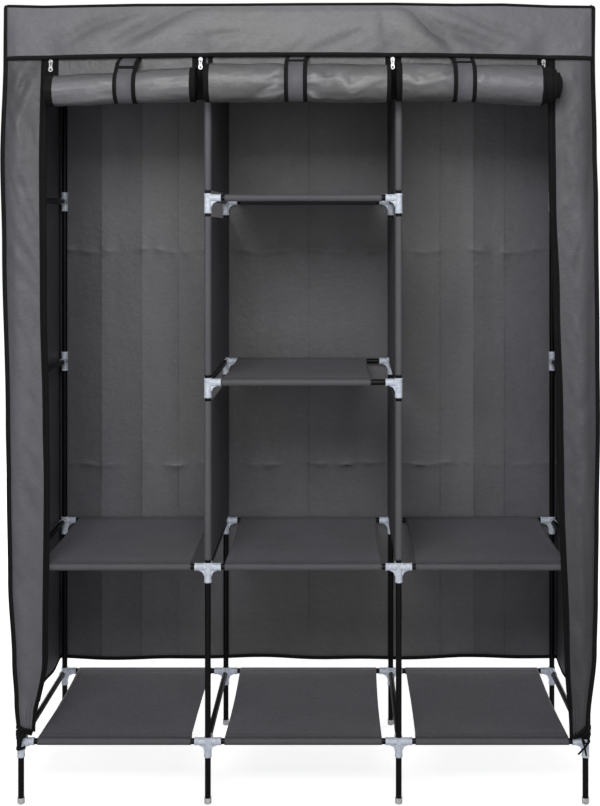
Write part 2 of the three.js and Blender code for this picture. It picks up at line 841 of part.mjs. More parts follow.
function zipPull(name, x) {
  const [bar, neck, end] = [pullBar / 2, pullNeckWidth / 2, pullWidth / 2];
  const shoulder = -bar - pullSlotHeight - pullBar;
  const outline = new THREE.Shape();
  outline.moveTo(-neck, bar);
  outline.lineTo(-neck, shoulder);
  outline.lineTo(-end, end - pullLength);
  outline.absarc(0, end - pullLength, end, Math.PI, 2 * Math.PI, false);
  outline.lineTo(neck, shoulder);
  outline.lineTo(neck, bar);
  const slot = pullSlotWidth / 2;
  const slotFoot = -bar - pullSlotHeight;
  outline.holes.push(
    new THREE.Path(
      points([
        [-slot, -bar],
        [slot, -bar],
        [slot, slotFoot],
        [-slot, slotFoot],
      ]),
    ),
  );
  const eye = new THREE.Path();
  eye.absarc(0, end - pullLength, pullEyeRadius, 0, 2 * Math.PI, true);
  outline.holes.push(eye);
  const shape = plate(outline, -pullThickness / 2, pullThickness, rollSides / 2);
  piece(name, shape, "zip").position.copy(pullAxis(x));
}

coverHeader();
coverRoof();
coverBack();
coverSide("left");
coverSide("right");
for (const bay of Object.keys(bays)) {
  doorRoll(bay);
  rollStrap(bay);
}
for (const [place, x] of Object.entries(zips)) {
  zipSlider(`zip_slider_${place}`, x);
  zipPull(`zip_pull_${place}`, x);
}

// The origin lies under the middle of the whole depth, which the rolls take forwards.
const frontReach = 2 * rollRadius - rollBack + layerGap + strapThickness;
const backReach = backPlane + backFold + coverThickness / 2;
wardrobe.position.y = (frontReach - backReach) / 2;

export default wardrobe;
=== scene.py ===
"""The looks of a portable fabric wardrobe: tubes in plastic connectors, cloth shelves and
partitions, and a sewn cover whose three doors are rolled up. Lengths are in mm, and points are
(x, y, z) in the part's own frame."""

import functools
import math

import bpy
import numpy as np
from mathutils import Matrix, Vector, noise


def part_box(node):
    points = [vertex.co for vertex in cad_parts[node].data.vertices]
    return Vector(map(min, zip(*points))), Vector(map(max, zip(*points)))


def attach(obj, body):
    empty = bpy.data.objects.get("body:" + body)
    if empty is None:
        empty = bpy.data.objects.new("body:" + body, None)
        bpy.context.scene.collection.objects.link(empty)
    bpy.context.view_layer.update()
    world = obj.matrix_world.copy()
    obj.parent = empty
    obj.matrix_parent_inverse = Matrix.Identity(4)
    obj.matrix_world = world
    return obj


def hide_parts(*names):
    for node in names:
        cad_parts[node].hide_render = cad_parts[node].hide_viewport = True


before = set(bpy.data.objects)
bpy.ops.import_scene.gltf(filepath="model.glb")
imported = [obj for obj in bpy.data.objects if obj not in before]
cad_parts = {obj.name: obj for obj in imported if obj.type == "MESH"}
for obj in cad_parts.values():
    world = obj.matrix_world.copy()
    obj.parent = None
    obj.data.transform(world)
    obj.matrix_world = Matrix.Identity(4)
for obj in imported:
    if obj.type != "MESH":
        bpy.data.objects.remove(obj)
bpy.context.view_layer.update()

MM = 0.001
BODY = "wardrobe"
ACROSS = np.array([1.0, 0.0, 0.0])
UP = np.array([0.0, 0.0, 1.0])

# Sizes that the CAD part has too.
TUBE_RADIUS = 6.5
SOCKET_RADIUS = 8.0
BORE_RADIUS = 6.8
ARM = 29.0
STEM = 34.0
HUB_RISE = 9.0
TEE_REACH = 24.0
RAIL_GRIP = 12.0
SLEEVE_SEAM = 23.0
HEADER_ARCH = 9.0
COVER_HALF_WIDTH = 650.0
ZIP_GAP = 8.0

# Sizes of the looks alone.
CLOTH = 1.0
SLEEVE_RADIUS = 7.5
PIPING = 8.4
TUBE_SIDES = 28


@functools.cache
def node_box(node):
    low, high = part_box(node)
    return np.array(low) / MM, np.array(high) / MM


def low_of(node, axis):
    return float(node_box(node)[0][axis])


def high_of(node, axis):
    return float(node_box(node)[1][axis])


def place(node, axis):
    """The middle of a CAD node's box along an axis."""
    return (low_of(node, axis) + high_of(node, axis)) / 2


COLUMN_NAMES = ("left_outer", "left_inner", "right_inner", "right_outer")
COLUMNS = {name: place(f"post_front_{name}", 0) for name in COLUMN_NAMES}
ROWS = {row: place(f"post_{row}_left_outer", 1) for row in ("front", "back")}
FRONT, BACK = ROWS["front"], ROWS["back"]
LEVELS = {
    "base": low_of("base_frame", 2) + STEM,
    "lower": low_of("lower_frame", 2) + STEM,
    "middle": place("side_brace_left_middle", 2),
    "upper": place("side_brace_left_upper", 2),
    "top": place("hanging_rail_left", 2),
}
BAYS = ("left", "centre", "right")
ZIPS = {name: place(f"zip_slider_{name}", 0) for name in COLUMN_NAMES}
ROOF_TOP = high_of("cover_roof", 2)
HEADER_HEM = ROOF_TOP - 107.0
PANEL_TOP = 1739.0
HEM = 165.0
# The planes of the cloths that hang at the front, and of the back.
STILE_PLANE = -187.96
HEADER_PLANE = -189.8
ROLL_BACK = -189.0
STRAP_REAR = -183.9
DOOR_PLANE = -185.9
BACK_PLANE = 265.1
BACK_HALF_WIDTH = 632.0


def header_hem(x):
    return HEADER_HEM - HEADER_ARCH * (x / COVER_HALF_WIDTH) ** 2


def smooth(share):
    share = np.clip(share, 0.0, 1.0)
    return share * share * (3 - 2 * share)


def eased(table, at):
    """Reads a table of (place, value) rows in rising places, easing between them."""
    places, values = zip(*table)
    at = float(np.clip(at, places[0], places[-1]))
    i = min(max(int(np.searchsorted(places, at)) - 1, 0), len(places) - 2)
    share = (at - places[i]) / (places[i + 1] - places[i])
    return values[i] + (values[i + 1] - values[i]) * float(smooth(share))


def ripple(points, size, seed, octaves=2):
    """Smooth noise from about -1 to 1 at each point, whose bumps are about size across."""
    size = np.broadcast_to(np.asarray(size, float), 3)
    shift = Vector((seed * 17.3, seed * 5.9, seed * 11.7))
    flat = np.asarray(points, float).reshape(-1, 3) / size
    values = [noise.fractal(Vector(p) + shift, 0.9, 2.1, octaves) for p in flat.tolist()]
    return np.array(values).reshape(np.asarray(points).shape[:-1])


def across_of(along):
    """Two directions square to a direction and to each other."""
    along = np.asarray(along, float) / np.linalg.norm(along)
    helper = UP if abs(along[2]) < 0.9 else np.array([0.0, 1.0, 0.0])
    side = np.cross(helper, along)
    side /= np.linalg.norm(side)
    return side, np.cross(along, side)


def directions_along(path):
    runs = np.gradient(np.asarray(path, float), axis=0)
    return runs / np.linalg.norm(runs, axis=1, keepdims=True)


def frames_along(path):
    """Two directions square to each point of a path, turned as little as they can from one to
    the next."""
    runs = directions_along(path)
    side = across_of(runs[0])[0]
    frames = []
    for run in runs:
        side = side - run * np.dot(side, run)
        side /= np.linalg.norm(side)
        frames.append((side, np.cross(run, side)))
    return frames


def circles(path, frames, radii, sides):
    """A ring of points round each point of a path."""
    turns = np.linspace(0, 2 * math.pi, sides, endpoint=False)
    return [point + (np.outer(np.cos(turns), side) + np.outer(np.sin(turns), up)) * radius
            for point, (side, up), radius in zip(path, frames, radii)]


def spaced(path, step):
    """Points at even steps along a smooth curve through a path's points."""
    path = np.asarray(path, float)
    padded = np.vstack([2 * path[0] - path[1], path, 2 * path[-1] - path[-2]])
    fine = []
    for i in range(len(path) - 1):
        a, b, c, d = padded[i : i + 4]
        for t in np.linspace(0, 1, 16, endpoint=False):
            linear = 2 * b + (c - a) * t
            square = (2 * a - 5 * b + 4 * c - d) * t**2
            cube = (3 * b - a - 3 * c + d) * t**3
            fine.append((linear + square + cube) / 2)
    fine = np.array(fine + [path[-1]])
    lengths = np.concatenate([[0], np.cumsum(np.linalg.norm(np.diff(fine, axis=0), axis=1))])
    at = np.linspace(0, lengths[-1], max(math.ceil(lengths[-1] / step), 1) + 1)
    return np.stack([np.interp(at, lengths, fine[:, k]) for k in range(3)], axis=1)


def arc(middle, radius, start, end, steps):
    turns = np.radians(np.linspace(start, end, steps + 1))
    return [(middle[0] + radius * math.cos(t), middle[1] + radius * math.sin(t)) for t in turns]


class Shape:
    """Points and faces gathered into one mesh, with texture places in metres."""

    def __init__(self):
        self.points, self.faces, self.places, self.slots, self.tones = [], [], [], [], []

    def face(self, corners, places, slot=0):
        self.faces.append(corners)
        self.places.append(places)
        self.slots.append(int(slot))

    def grid(self, rows, ring=False, slot=0, tone=1.0):
        """A skin over rows of points. With ring each row is closed, and so are both ends. slot is
        a material's number, or one for each quad, and tone is how light the cloth is, painted
        shade and highlights included: one value, or one for each point."""
        rows = np.asarray(rows, float)
        count, across = rows.shape[:2]
        start = len(self.points)
        self.points.extend(rows.reshape(-1, 3).tolist())
        self.tones.extend(np.broadcast_to(np.asarray(tone, float), (count, across)).ravel())
        wide = np.concatenate([rows, rows[:, :1]], axis=1) if ring else rows
        u, v = np.zeros(wide.shape[:2]), np.zeros(wide.shape[:2])
        u[:, 1:] = np.cumsum(np.linalg.norm(np.diff(wide, axis=1), axis=2), axis=1) * MM
        v[1:] = np.cumsum(np.linalg.norm(np.diff(wide, axis=0), axis=2), axis=0) * MM
        slots = np.broadcast_to(np.asarray(slot), (count - 1, wide.shape[1] - 1))
        for i, j in np.ndindex(slots.shape):
            k = (j + 1) % across
            corners = ((i, j, j), (i, k, j + 1), (i + 1, k, j + 1), (i + 1, j, j))
            self.face([start + a * across + b for a, b, _ in corners],
                      [(u[a, c], v[a, c]) for a, _, c in corners], slots[i, j])
        if ring:
            for row, order in ((0, -1), (count - 1, 1)):
                ends = [start + row * across + j for j in range(across)][::order]
                self.face(ends, [(0.0, 0.0)] * across, slots[0, 0])
        return self

    def tube(self, path, radius, sides=TUBE_SIDES):
        path = np.asarray(path, float)
        return self.grid(circles(path, frames_along(path), [radius] * len(path), sides), True)

    def lathe(self, profile, start, along):
        """A turned shape on an axis from start. profile is (distance, radius) rows."""
        start, along = np.asarray(start, float), np.asarray(along, float)
        path = [start + along * distance for distance, _ in profile]
        frames = [across_of(along)] * len(path)
        return self.grid(circles(path, frames, [r for _, r in profile], TUBE_SIDES), True)

    def sweep(self, path, sides, faces, section, **options):
        """Carries a closed section along a path. Its points are (along sides, along faces)."""
        sides, faces = (np.broadcast_to(way, np.shape(path)) for way in (sides, faces))
        rings = [[p + s * a + f * b for a, b in section] for p, s, f in zip(path, sides, faces)]
        return self.grid(rings, True, **options)

    def plate(self, outlines, thickness, rounding, at, mirrored=False):
        """A plate in the X-Z plane, centred on Y, with rounded edges. The outlines after the
        first are its holes. Each is a list of (x, z)."""
        curve = bpy.data.curves.new("plate", "CURVE")
        curve.dimensions = "2D"
        curve.fill_mode = "BOTH"
        curve.extrude = thickness / 2 - rounding
        curve.bevel_depth = rounding
        curve.bevel_resolution = 2
        curve.offset = -rounding
        for outline in outlines:
            spline = curve.splines.new("POLY")
            spline.points.add(len(outline) - 1)
            for point, (x, z) in zip(spline.points, outline):
                point.co = (x, z, 0, 1)
            spline.use_cyclic_u = True
        holder = bpy.data.objects.new("plate", curve)
        bpy.context.scene.collection.objects.link(holder)
        graph = bpy.context.evaluated_depsgraph_get()
        mesh = bpy.data.meshes.new_from_object(holder.evaluated_get(graph))
        mesh.transform(Matrix.Rotation(math.radians(90), 4, "X"))
        if mirrored:
            mesh.transform(Matrix.Scale(-1, 4, (1, 0, 0)))
        mesh.transform(Matrix.Translation(at))
        bpy.data.objects.remove(holder)
        bpy.data.curves.remove(curve)
        start = len(self.points)
        self.points.extend([tuple(v.co) for v in mesh.vertices])
        self.tones.extend([1.0] * len(mesh.vertices))
        for face in mesh.polygons:
            self.face([start + i for i in face.vertices], [(0.0, 0.0)] * len(face.vertices))

    def piece(self, name, slot, *looks, node=None, body=BODY, thickness=0.0, sharp=40.0):
        """Makes the object. node is the CAD node that it stands for, and thickness gives a
        cloth its depth, on both sides of the skin."""
        mesh = bpy.data.meshes.new(name)
        mesh.from_pydata((np.asarray(self.points) * MM).tolist(), [], self.faces)
        uv = mesh.uv_layers.new(name="Cloth")
        uv.data.foreach_set("uv", np.array([c for f in self.places for c in f]).ravel())
        mesh.polygons.foreach_set("material_index", self.slots)
        mesh.attributes.new("Tone", "FLOAT", "POINT").data.foreach_set("value", self.tones)
        for look in looks:
            mesh.materials.append(look)
        mesh.polygons.foreach_set("use_smooth", [True] * len(mesh.polygons))
        mesh.set_sharp_from_angle(angle=math.radians(sharp))
        mesh.validate()
        obj = bpy.data.objects.new(name, mesh)
        bpy.context.scene.collection.objects.link(obj)
        if thickness:
            solid = obj.modifiers.new("Thickness", "SOLIDIFY")
            solid.thickness = thickness * MM
            solid.offset = 0
        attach(obj, body)
        if node:
            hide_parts(node)
        return obj


# Materials.


class Nodes:
    """Builds a tree of shader nodes."""

    def __init__(self, tree):
        self.tree = tree

    def add(self, kind, inputs=(), **settings):
        node = self.tree.nodes.new("ShaderNode" + kind)
        for key, value in settings.items():
            setattr(node, key, value)
        for key, value in dict(inputs).items():
            self.set(node, key, value)
        return node

    def set(self, node, key, value):
        if isinstance(value, bpy.types.NodeSocket):
            self.tree.links.new(value, node.inputs[key])
        else:
            node.inputs[key].default_value = value

    def math(self, kind, a, b=0.0):
        return self.add("Math", {0: a, 1: b}, operation=kind).outputs[0]

    def range(self, value, low, high, to_low=0.0, to_high=1.0):
        inputs = {0: value, 1: low, 2: high, 3: to_low, 4: to_high}
        return self.add("MapRange", inputs).outputs[0]

    def mix(self, share, a, b, blend="MIX"):
        inputs = {0: share, 6: a, 7: b}
        return self.add("Mix", inputs, data_type="RGBA", blend_type=blend).outputs[2]


class Look(Nodes):
    """Builds one material's nodes."""

    def __init__(self, name):
        self.material = bpy.data.materials.new(name)
        self.material.use_nodes = True
        super().__init__(self.material.node_tree)
        self.object_places = self.add("TexCoord").outputs["Object"]
        self.cloth_places = self.add("UVMap", uv_map="Cloth").outputs["UV"]

    def noise(self, scale, detail=2.0, vector=None, rough=0.5):
        places = vector or self.object_places
        inputs = {"Vector": places, "Scale": scale, "Detail": detail, "Roughness": rough}
        return self.add("TexNoise", inputs).outputs["Fac"]

    def mapped(self, places, **settings):
        return self.add("Mapping", {"Vector": places, **settings}).outputs[0]

    def parts(self, places):
        return self.add("SeparateXYZ", {0: places}).outputs

    def ridges(self, value, pitch):
        return self.math("SINE", self.math("MULTIPLY", value, 2 * math.pi / pitch))

    def bump(self, height, distance, strength, before=None):
        inputs = {"Height": height, "Distance": distance, "Strength": strength}
        if before:
            inputs["Normal"] = before
        return self.add("Bump", inputs).outputs["Normal"]

    def finish(self, colour, roughness, **others):
        inputs = {"Base Color": colour, "Roughness": roughness, **others}
        for key, value in inputs.items():
            self.set(self.tree.nodes["Principled BSDF"], key.replace("_", " "), value)
        return self.material


def linear(value):
    """The shader's value for one of 0 to 255 on the screen."""
    value = value / 255
    return value / 12.92 if value <= 0.04045 else ((value + 0.055) / 1.055) ** 2.4


def srgb(red, green, blue):
    return (linear(red), linear(green), linear(blue), 1.0)


def grey(level, blue=0.0):
    """A grey of 0 to 255, with some more blue."""
    return srgb(level, level - blue / 6, level + blue)


def cloth_look(name, level, shine, rough, warmth):
    """Spun-bonded cloth: matted fibres pressed in a lattice of small dots, slightly uneven in
    thickness and hue, with a satin shine. Tone multiplies the colour: random unevenness and wear,
    and painted shade and highlights in folds, creases and where the light falls unevenly."""
    n = Look(name)
    fibres = n.noise(1500.0, 3.0, rough=0.7)
    clouds = n.noise(2.3, 3.0)
    patches = n.noise(30.0, 4.0, rough=0.62)
    laid = n.mapped(n.object_places, Scale=(0.3, 0.3, 1.5))
    threads = n.range(n.noise(330.0, 3.0, laid, 0.75), 0.3, 0.7)
    turned = n.mapped(n.cloth_places, Rotation=(0, 0, 0.785))
    lattice = {"Vector": turned, "Scale": 620.0, "Randomness": 0.0}
    dots = n.add("TexVoronoi", lattice, voronoi_dimensions="2D").outputs["Distance"]
    olive = n.mix(threads, grey(level - 10, 0), grey(level + 6, -2))
    lilac = n.mix(threads, grey(level - 11, 5), grey(level + 5, 7))
    middle = n.range(n.math("ABSOLUTE", n.parts(n.object_places)[0]), 0.3, 0.57, warmth, 0.0)
    ground = n.mix(n.math("MULTIPLY", middle, n.range(clouds, 0.4, 0.6, 0.3)), lilac, olive)
    flecked = n.mix(n.range(fibres, 0.4, 0.75, 0.0, 0.35), ground, grey(level + 26, 3))
    mottled = n.mix(n.range(patches, 0.35, 0.75, 0.0, 0.3), flecked, grey(level + 16, 2))
    # The Tone attribute carries painted shade and highlights as well as random unevenness and
    # wear.
    tone = n.add("Attribute", attribute_name="Tone").outputs["Fac"]
    crumpled = n.bump(n.noise(70.0, 4.0, rough=0.6), 0.0022, 0.5)
    dotted = n.bump(n.range(dots, 0.22, 0.42), 0.00012, 0.6, crumpled)
    return n.finish(
        n.mix(1.0, mottled, tone, "MULTIPLY"),
        n.range(patches, 0.3, 0.7, rough - 0.05, rough + 0.07),
        Normal=n.bump(fibres, 0.0001, 0.5, dotted),
        Specular_IOR_Level=shine,
    )


def binding_look():
    """Ribbed black binding tape, stitched near its edge."""
    n = Look("binding_tape")
    around, along, _ = n.parts(n.cloth_places)
    wear = n.noise(60.0, 3.0)
    dash = n.math("LESS_THAN", n.math("FRACT", n.math("MULTIPLY", along, 1 / 0.0042)), 0.62)
    row = n.math("LESS_THAN", n.math("ABSOLUTE", n.math("SUBTRACT", around, 0.0075)), 0.0004)
    # The stitches are painted lighter than the tape, a painted sheen of their thread.
    stitch = n.math("MULTIPLY", dash, row)
    ribbed = n.bump(n.ridges(along, 0.0011), 0.00012, 0.5)
    return n.finish(
        n.mix(stitch, n.mix(wear, grey(13), grey(25, 1)), grey(48, 2)),
        n.range(wear, 0.3, 0.7, 0.6, 0.8),
        Normal=n.bump(stitch, 0.0004, 0.7, ribbed),
        Specular_IOR_Level=0.12,
    )


def zip_tape_look():
    """Black woven zip tape with the coil's ridges."""
    n = Look("zip_tape")
    across, along, _ = n.parts(n.cloth_places)
    wear = n.noise(45.0, 3.0)
    toothed = n.bump(n.ridges(along, 0.0018), 0.0002, 0.4)
    return n.finish(
        n.mix(wear, grey(12), grey(24, 1)),
        n.range(wear, 0.3, 0.7, 0.6, 0.8),
        Normal=n.bump(n.ridges(across, 0.0012), 0.0001, 0.5, toothed),
        Specular_IOR_Level=0.12,
    )


def tube_look():
    """Black powder coat with a fine orange peel and faint rubs."""
    n = Look("powder_coat")
    drawn = n.mapped(n.object_places, Scale=(1.0, 1.0, 0.12))
    rubs = n.noise(260.0, 4.0, drawn, 0.7)
    return n.finish(
        n.mix(n.range(rubs, 0.62, 0.75, 0.0, 0.5), grey(11, 1), grey(34, 2)),
        n.range(rubs, 0.35, 0.7, 0.3, 0.46),
        Normal=n.bump(n.noise(420.0), 0.0002, 0.35),
        Specular_IOR_Level=0.16,
    )


def plastic_look(name, colour, shade, glow):
    """Pale moulded plastic, cloudy, with flow marks."""
    n = Look(name)
    clouds = n.noise(150.0, 3.0, rough=0.65)
    between = tuple((a + b) / 2 for a, b in zip(colour, shade))
    dark = n.mix(n.noise(32.0), shade, between)
    return n.finish(
        n.mix(n.range(clouds, 0.35, 0.62), dark, colour),
        n.range(clouds, 0.3, 0.7, 0.26, 0.46),
        Normal=n.bump(clouds, 0.0006, 0.3),
        Specular_IOR_Level=0.45,
        Subsurface_Weight=glow,
        Subsurface_Radius=(1.0, 1.0, 1.0),
        Subsurface_Scale=0.002,
    )


def metal_look():
    """Bright nickel plate with fine handling marks."""
    n = Look("zip_nickel")
    marks = n.noise(2500.0, 3.0, rough=0.7)
    return n.finish(
        n.mix(n.noise(500.0), grey(110, 3), grey(168)),
        n.range(marks, 0.3, 0.7, 0.18, 0.34),
        Normal=n.bump(marks, 0.00003, 0.4),
        Metallic=1.0,
    )


COVER_CLOTH = cloth_look("cover_cloth", level=101, shine=0.45, rough=0.44, warmth=1.0)
DOOR_CLOTH = cloth_look("door_cloth", level=104, shine=0.55, rough=0.38, warmth=0.9)
STRAP_CLOTH = cloth_look("strap_cloth", level=98, shine=0.3, rough=0.55, warmth=0.3)
SHELF_CLOTH = cloth_look("shelf_cloth", level=106, shine=0.3, rough=0.6, warmth=0.3)
BINDING_TAPE = binding_look()
ZIP_TAPE = zip_tape_look()
POWDER_COAT = tube_look()
CONNECTOR_PLASTIC = plastic_look(
    "connector_plastic", srgb(238, 245, 255), srgb(196, 206, 226), glow=0.12
)
FOOT_PLASTIC = plastic_look("foot_plastic", srgb(232, 233, 233), srgb(196, 197, 198), glow=0.25)
NICKEL = metal_look()


# The frame: tubes in moulded connectors.


def socket(shape, start, along, length):
    """One hollow arm of a connector, with the collar at its mouth."""
    outer, collar = SOCKET_RADIUS, SOCKET_RADIUS + 0.5
    profile = [(0.0, outer * 0.94), (2.0, outer), (length - 4.2, outer), (length - 3.8, collar),
               (length - 0.6, collar), (length, outer), (length, BORE_RADIUS + 0.1),
               (length - 1.5, BORE_RADIUS - 0.1)]
    shape.lathe(profile, start, along)


def gusset(shape, at, way):
    """The web in the corner between an arm along X and the stem below it."""
    reach = 19.0
    outline = [(0.0, 0.0), (0.0, -reach), (4.0, -reach)]
    outline += arc((reach, -reach), reach - 9.5, 180, 90, 8) + [(reach, -4.0), (reach, 0.0)]
    shape.plate([outline], 5.0, 0.9, at, mirrored=way < 0)


def connector(shape, at, arms):
    """A column's connector: its stem and hub upright, an arm inwards and its arms along X."""
    inward = 1.0 if at[1] < (FRONT + BACK) / 2 else -1.0
    socket(shape, at, (0, 0, -1), STEM)
    socket(shape, at, (0, 0, 1), HUB_RISE + 0.5)
    socket(shape, at, (0, inward, 0), ARM)
    for way in arms:
        socket(shape, at, (way, 0, 0), ARM)
        gusset(shape, at, way)


def rail(shape, start, end):
    shape.tube([start, end], TUBE_RADIUS, 20)


def frame_level(node, level, names, tees=()):
    """One level's connectors and rails, standing for the CAD node of the level."""
    z = LEVELS[level]
    plastic, metal = Shape(), Shape()
    inset = ARM - RAIL_GRIP
    for i, name in enumerate(names):
        x = COLUMNS[name]
        arms = [-1.0] * (i > 0) + [1.0] * (i + 1 < len(names))
        for y in ROWS.values():
            connector(plastic, (x, y, z), arms)
            if i > 0:
                before = COLUMNS[names[i - 1]]
                rail(metal, (before + inset, y, z), (x - inset, y, z))
        rail(metal, (x, FRONT + inset, z), (x, BACK - inset, z))
    for x, way in tees:
        middle = (x, (FRONT + BACK) / 2, z)
        for along, length in (((0, 1, 0), TEE_REACH), ((0, -1, 0), TEE_REACH), ((way, 0, 0), ARM)):
            socket(plastic, middle, along, length)
    plastic.piece(f"{node}_connectors", "frame", CONNECTOR_PLASTIC)
    metal.piece(f"{node}_rails", "frame", POWDER_COAT, node=node)


def side_brace(node, name, level):
    """A rail from front to back between two tees on an outer column's posts."""
    x, z = COLUMNS[name], LEVELS[level]
    plastic, metal = Shape(), Shape()
    for y, inward in ((FRONT, 1.0), (BACK, -1.0)):
        for along, length in (((0, 0, 1), TEE_REACH), ((0, 0, -1), TEE_REACH),
                              ((0, inward, 0), ARM)):
            socket(plastic, (x, y, z), along, length)
    rail(metal, (x, FRONT + 15, z), (x, BACK - 15, z))
    plastic.piece(f"{node}_tees", "frame", CONNECTOR_PLASTIC)
    metal.piece(f"{node}_rail", "frame", POWDER_COAT, node=node)


def post_and_foot(row, name, x, y):
    node = f"post_{row}_{name}"
    post = Shape().tube([(x, y, low_of(node, 2)), (x, y, high_of(node, 2))], TUBE_RADIUS)
    post.piece(f"{node}_tubes", "tube", POWDER_COAT, node=node)
    node = f"foot_{row}_{name}"
    outer = SOCKET_RADIUS
    profile = [(0.0, outer - 1.6), (0.5, outer - 0.7), (1.6, outer), (10.6, outer - 0.2),
               (10.9, outer + 0.1), (12.7, outer), (13.0, outer - 0.4), (13.0, BORE_RADIUS),
               (12.0, BORE_RADIUS - 0.1)]
    cup = Shape().lathe(profile, (x, y, 0.0), UP)
    cup.piece(f"{node}_cup", "foot", FOOT_PLASTIC, node=node)


def build_frame():
    frame_level("base_frame", "base", COLUMN_NAMES)
    frame_level("lower_frame", "lower", COLUMN_NAMES)
    for level in ("middle", "upper"):
        frame_level(f"centre_frame_{level}", level, COLUMN_NAMES[1:3])
    tees = list(zip(COLUMNS.values(), (1.0, -1.0, 1.0, -1.0)))
    frame_level("top_frame", "top", COLUMN_NAMES, tees)
    for side in ("left", "right"):
        for level in ("middle", "upper"):
            side_brace(f"side_brace_{side}_{level}", f"{side}_outer", level)
        node = f"hanging_rail_{side}"
        y, z = place(node, 1), place(node, 2)
        metal = Shape()
        rail(metal, (low_of(node, 0) + 1, y, z), (high_of(node, 0) - 1, y, z))
        metal.piece(f"{node}_tube", "tube", POWDER_COAT, node=node)
    for row, y in ROWS.items():
        for name, x in COLUMNS.items():
            post_and_foot(row, name, x, y)


# Shelves and partitions: cloth sleeved over two tubes.


# How far the ends of a shelf that hangs askew are moved.
SHELF_SHIFTS = {("centre", "middle"): (-7.0, -24.0)}


def sleeved_line(sag):
    """The line of a sleeved cloth as (distance back, height) rows, and for each point how free
    of the tubes it is."""
    length = BACK - FRONT
    seam_height = SLEEVE_RADIUS - CLOTH - 0.5 - sag * math.sin(math.pi * SLEEVE_SEAM / length)
    distance = math.hypot(SLEEVE_SEAM, seam_height)
    start = math.atan2(seam_height, SLEEVE_SEAM) - math.acos(SLEEVE_RADIUS / distance)
    turns = np.linspace(start, -1.5 * math.pi, 22)
    sleeve = [(SLEEVE_SEAM + 1.5, seam_height), (SLEEVE_SEAM, seam_height)]
    sleeve += [(SLEEVE_RADIUS * math.cos(t), SLEEVE_RADIUS * math.sin(t)) for t in turns]
    back = [(length - s, h) for s, h in sleeve][::-1]
    runs = [8.0, 14.0, SLEEVE_SEAM - 2, SLEEVE_SEAM, SLEEVE_SEAM + 2]
    runs += list(np.linspace(SLEEVE_SEAM + 8, length - SLEEVE_SEAM - 8, 34))
    runs += [length - s for s in runs[:5]][::-1]
    middle = [(s, SLEEVE_RADIUS - sag * math.sin(math.pi * s / length)) for s in runs]
    held = [0.0] * len(sleeve)
    free = held + [math.sin(math.pi * s / length) for s in runs] + held
    return np.array(sleeve + middle + back), np.array(free)


def sleeved_cloth(across, seed, sag, waist):
    """Points of a sleeved cloth as (across, distance back, height), over its width."""
    line, free = sleeved_line(sag)
    start, end = across
    margin = 9.0
    near = np.array([0, 4, margin, margin + 1])
    at = np.concatenate([start + near, np.linspace(start + 14, end - 14, 30),
                         end - near[::-1]])
    middle, half = (start + end) / 2, (end - start) / 2
    rows = np.zeros((len(line), len(at), 3))
    share = (at - middle) / half
    rows[..., 0] = middle + np.outer(1 - waist * free, share * half)
    rows[..., 1:] = line[:, None]
    rows[..., 2] += np.outer(free, 0.35 * share**2 * sag * 0.5)
    rows[..., 2] += ripple(rows, (60.0, 90.0, 60.0), seed) * free[:, None] * 1.3
    hem = np.minimum(at - start, end - at) <= margin
    rows[..., 2] += 0.45 * hem[None, :] * (free > 0)[:, None]
    seam = np.abs(rows[..., 1] - SLEEVE_SEAM) < 1
    seam |= np.abs(rows[..., 1] - (BACK - FRONT - SLEEVE_SEAM)) < 1
    rows[..., 2] -= 0.5 * seam * (free > 0)[:, None]
    return rows


def sleeved_tone(rows, spread, sleeve, seed):
    """How light each point of a sleeved cloth is: painted light and shade, spread on its stretch
    between the sleeves and sleeve on those, with a darker line beside the seams and random
    unevenness.
    """
    _, free = sleeved_line(5.0)
    tone = np.interp(free, (0.0, 0.1, 0.15, 0.2), (sleeve, spread, spread * 0.75, spread))
    return tone[:, None] * (1 + 0.07 * ripple(rows, (150.0, 170.0, 150.0), seed))


def sleeved_piece(node, points, tone):
    cloth = Shape().grid(points, tone=tone)
    piece = cloth.piece(f"{node}_cloth", "shelf_cloth", SHELF_CLOTH, node=node, thickness=CLOTH)


def shelf(bay, level, seed):
    node = f"shelf_{level}_{bay}"
    left, right = SHELF_SHIFTS.get((bay, level), (0.0, 0.0))
    low, high = low_of(node, 0) + left, high_of(node, 0) + right
    rows = sleeved_cloth((low, high), seed, sag=5.0, waist=0.012)
    rows += (0.0, FRONT, LEVELS[level])
    # Painted light on the shelf's top and painted shade on its sleeves.
    tone = sleeved_tone(rows, 1.35, 0.72, seed)
    sleeved_piece(node, rows, tone)


def partition(side, level, seed):
    node = f"partition_{side}_{level}"
    x = COLUMNS[f"{side}_inner"]
    towards = -1.0 if x > 0 else 1.0
    rows = sleeved_cloth((low_of(node, 2), high_of(node, 2)), seed, sag=1.5, waist=0.008)
    points = np.stack([x + towards * rows[..., 2], FRONT + rows[..., 1], rows[..., 0]], -1)
    # Painted shade over the partition and its sleeves.
    tone = sleeved_tone(rows, 0.7, 0.8, seed)
    sleeved_piece(node, points, tone)


def build_cloths():
    shelves = [(bay, level) for bay in BAYS for level in ("base", "lower")]
    shelves += [("centre", level) for level in ("middle", "upper")]
    partitions = [(side, level) for side in ("left", "right")
                  for level in ("lower", "middle", "upper")]
    for seed, (bay, level) in enumerate(shelves, 1):
        shelf(bay, level, seed)
    for seed, (side, level) in enumerate(partitions, 1 + len(shelves)):
        partition(side, level, seed)


# The cover.


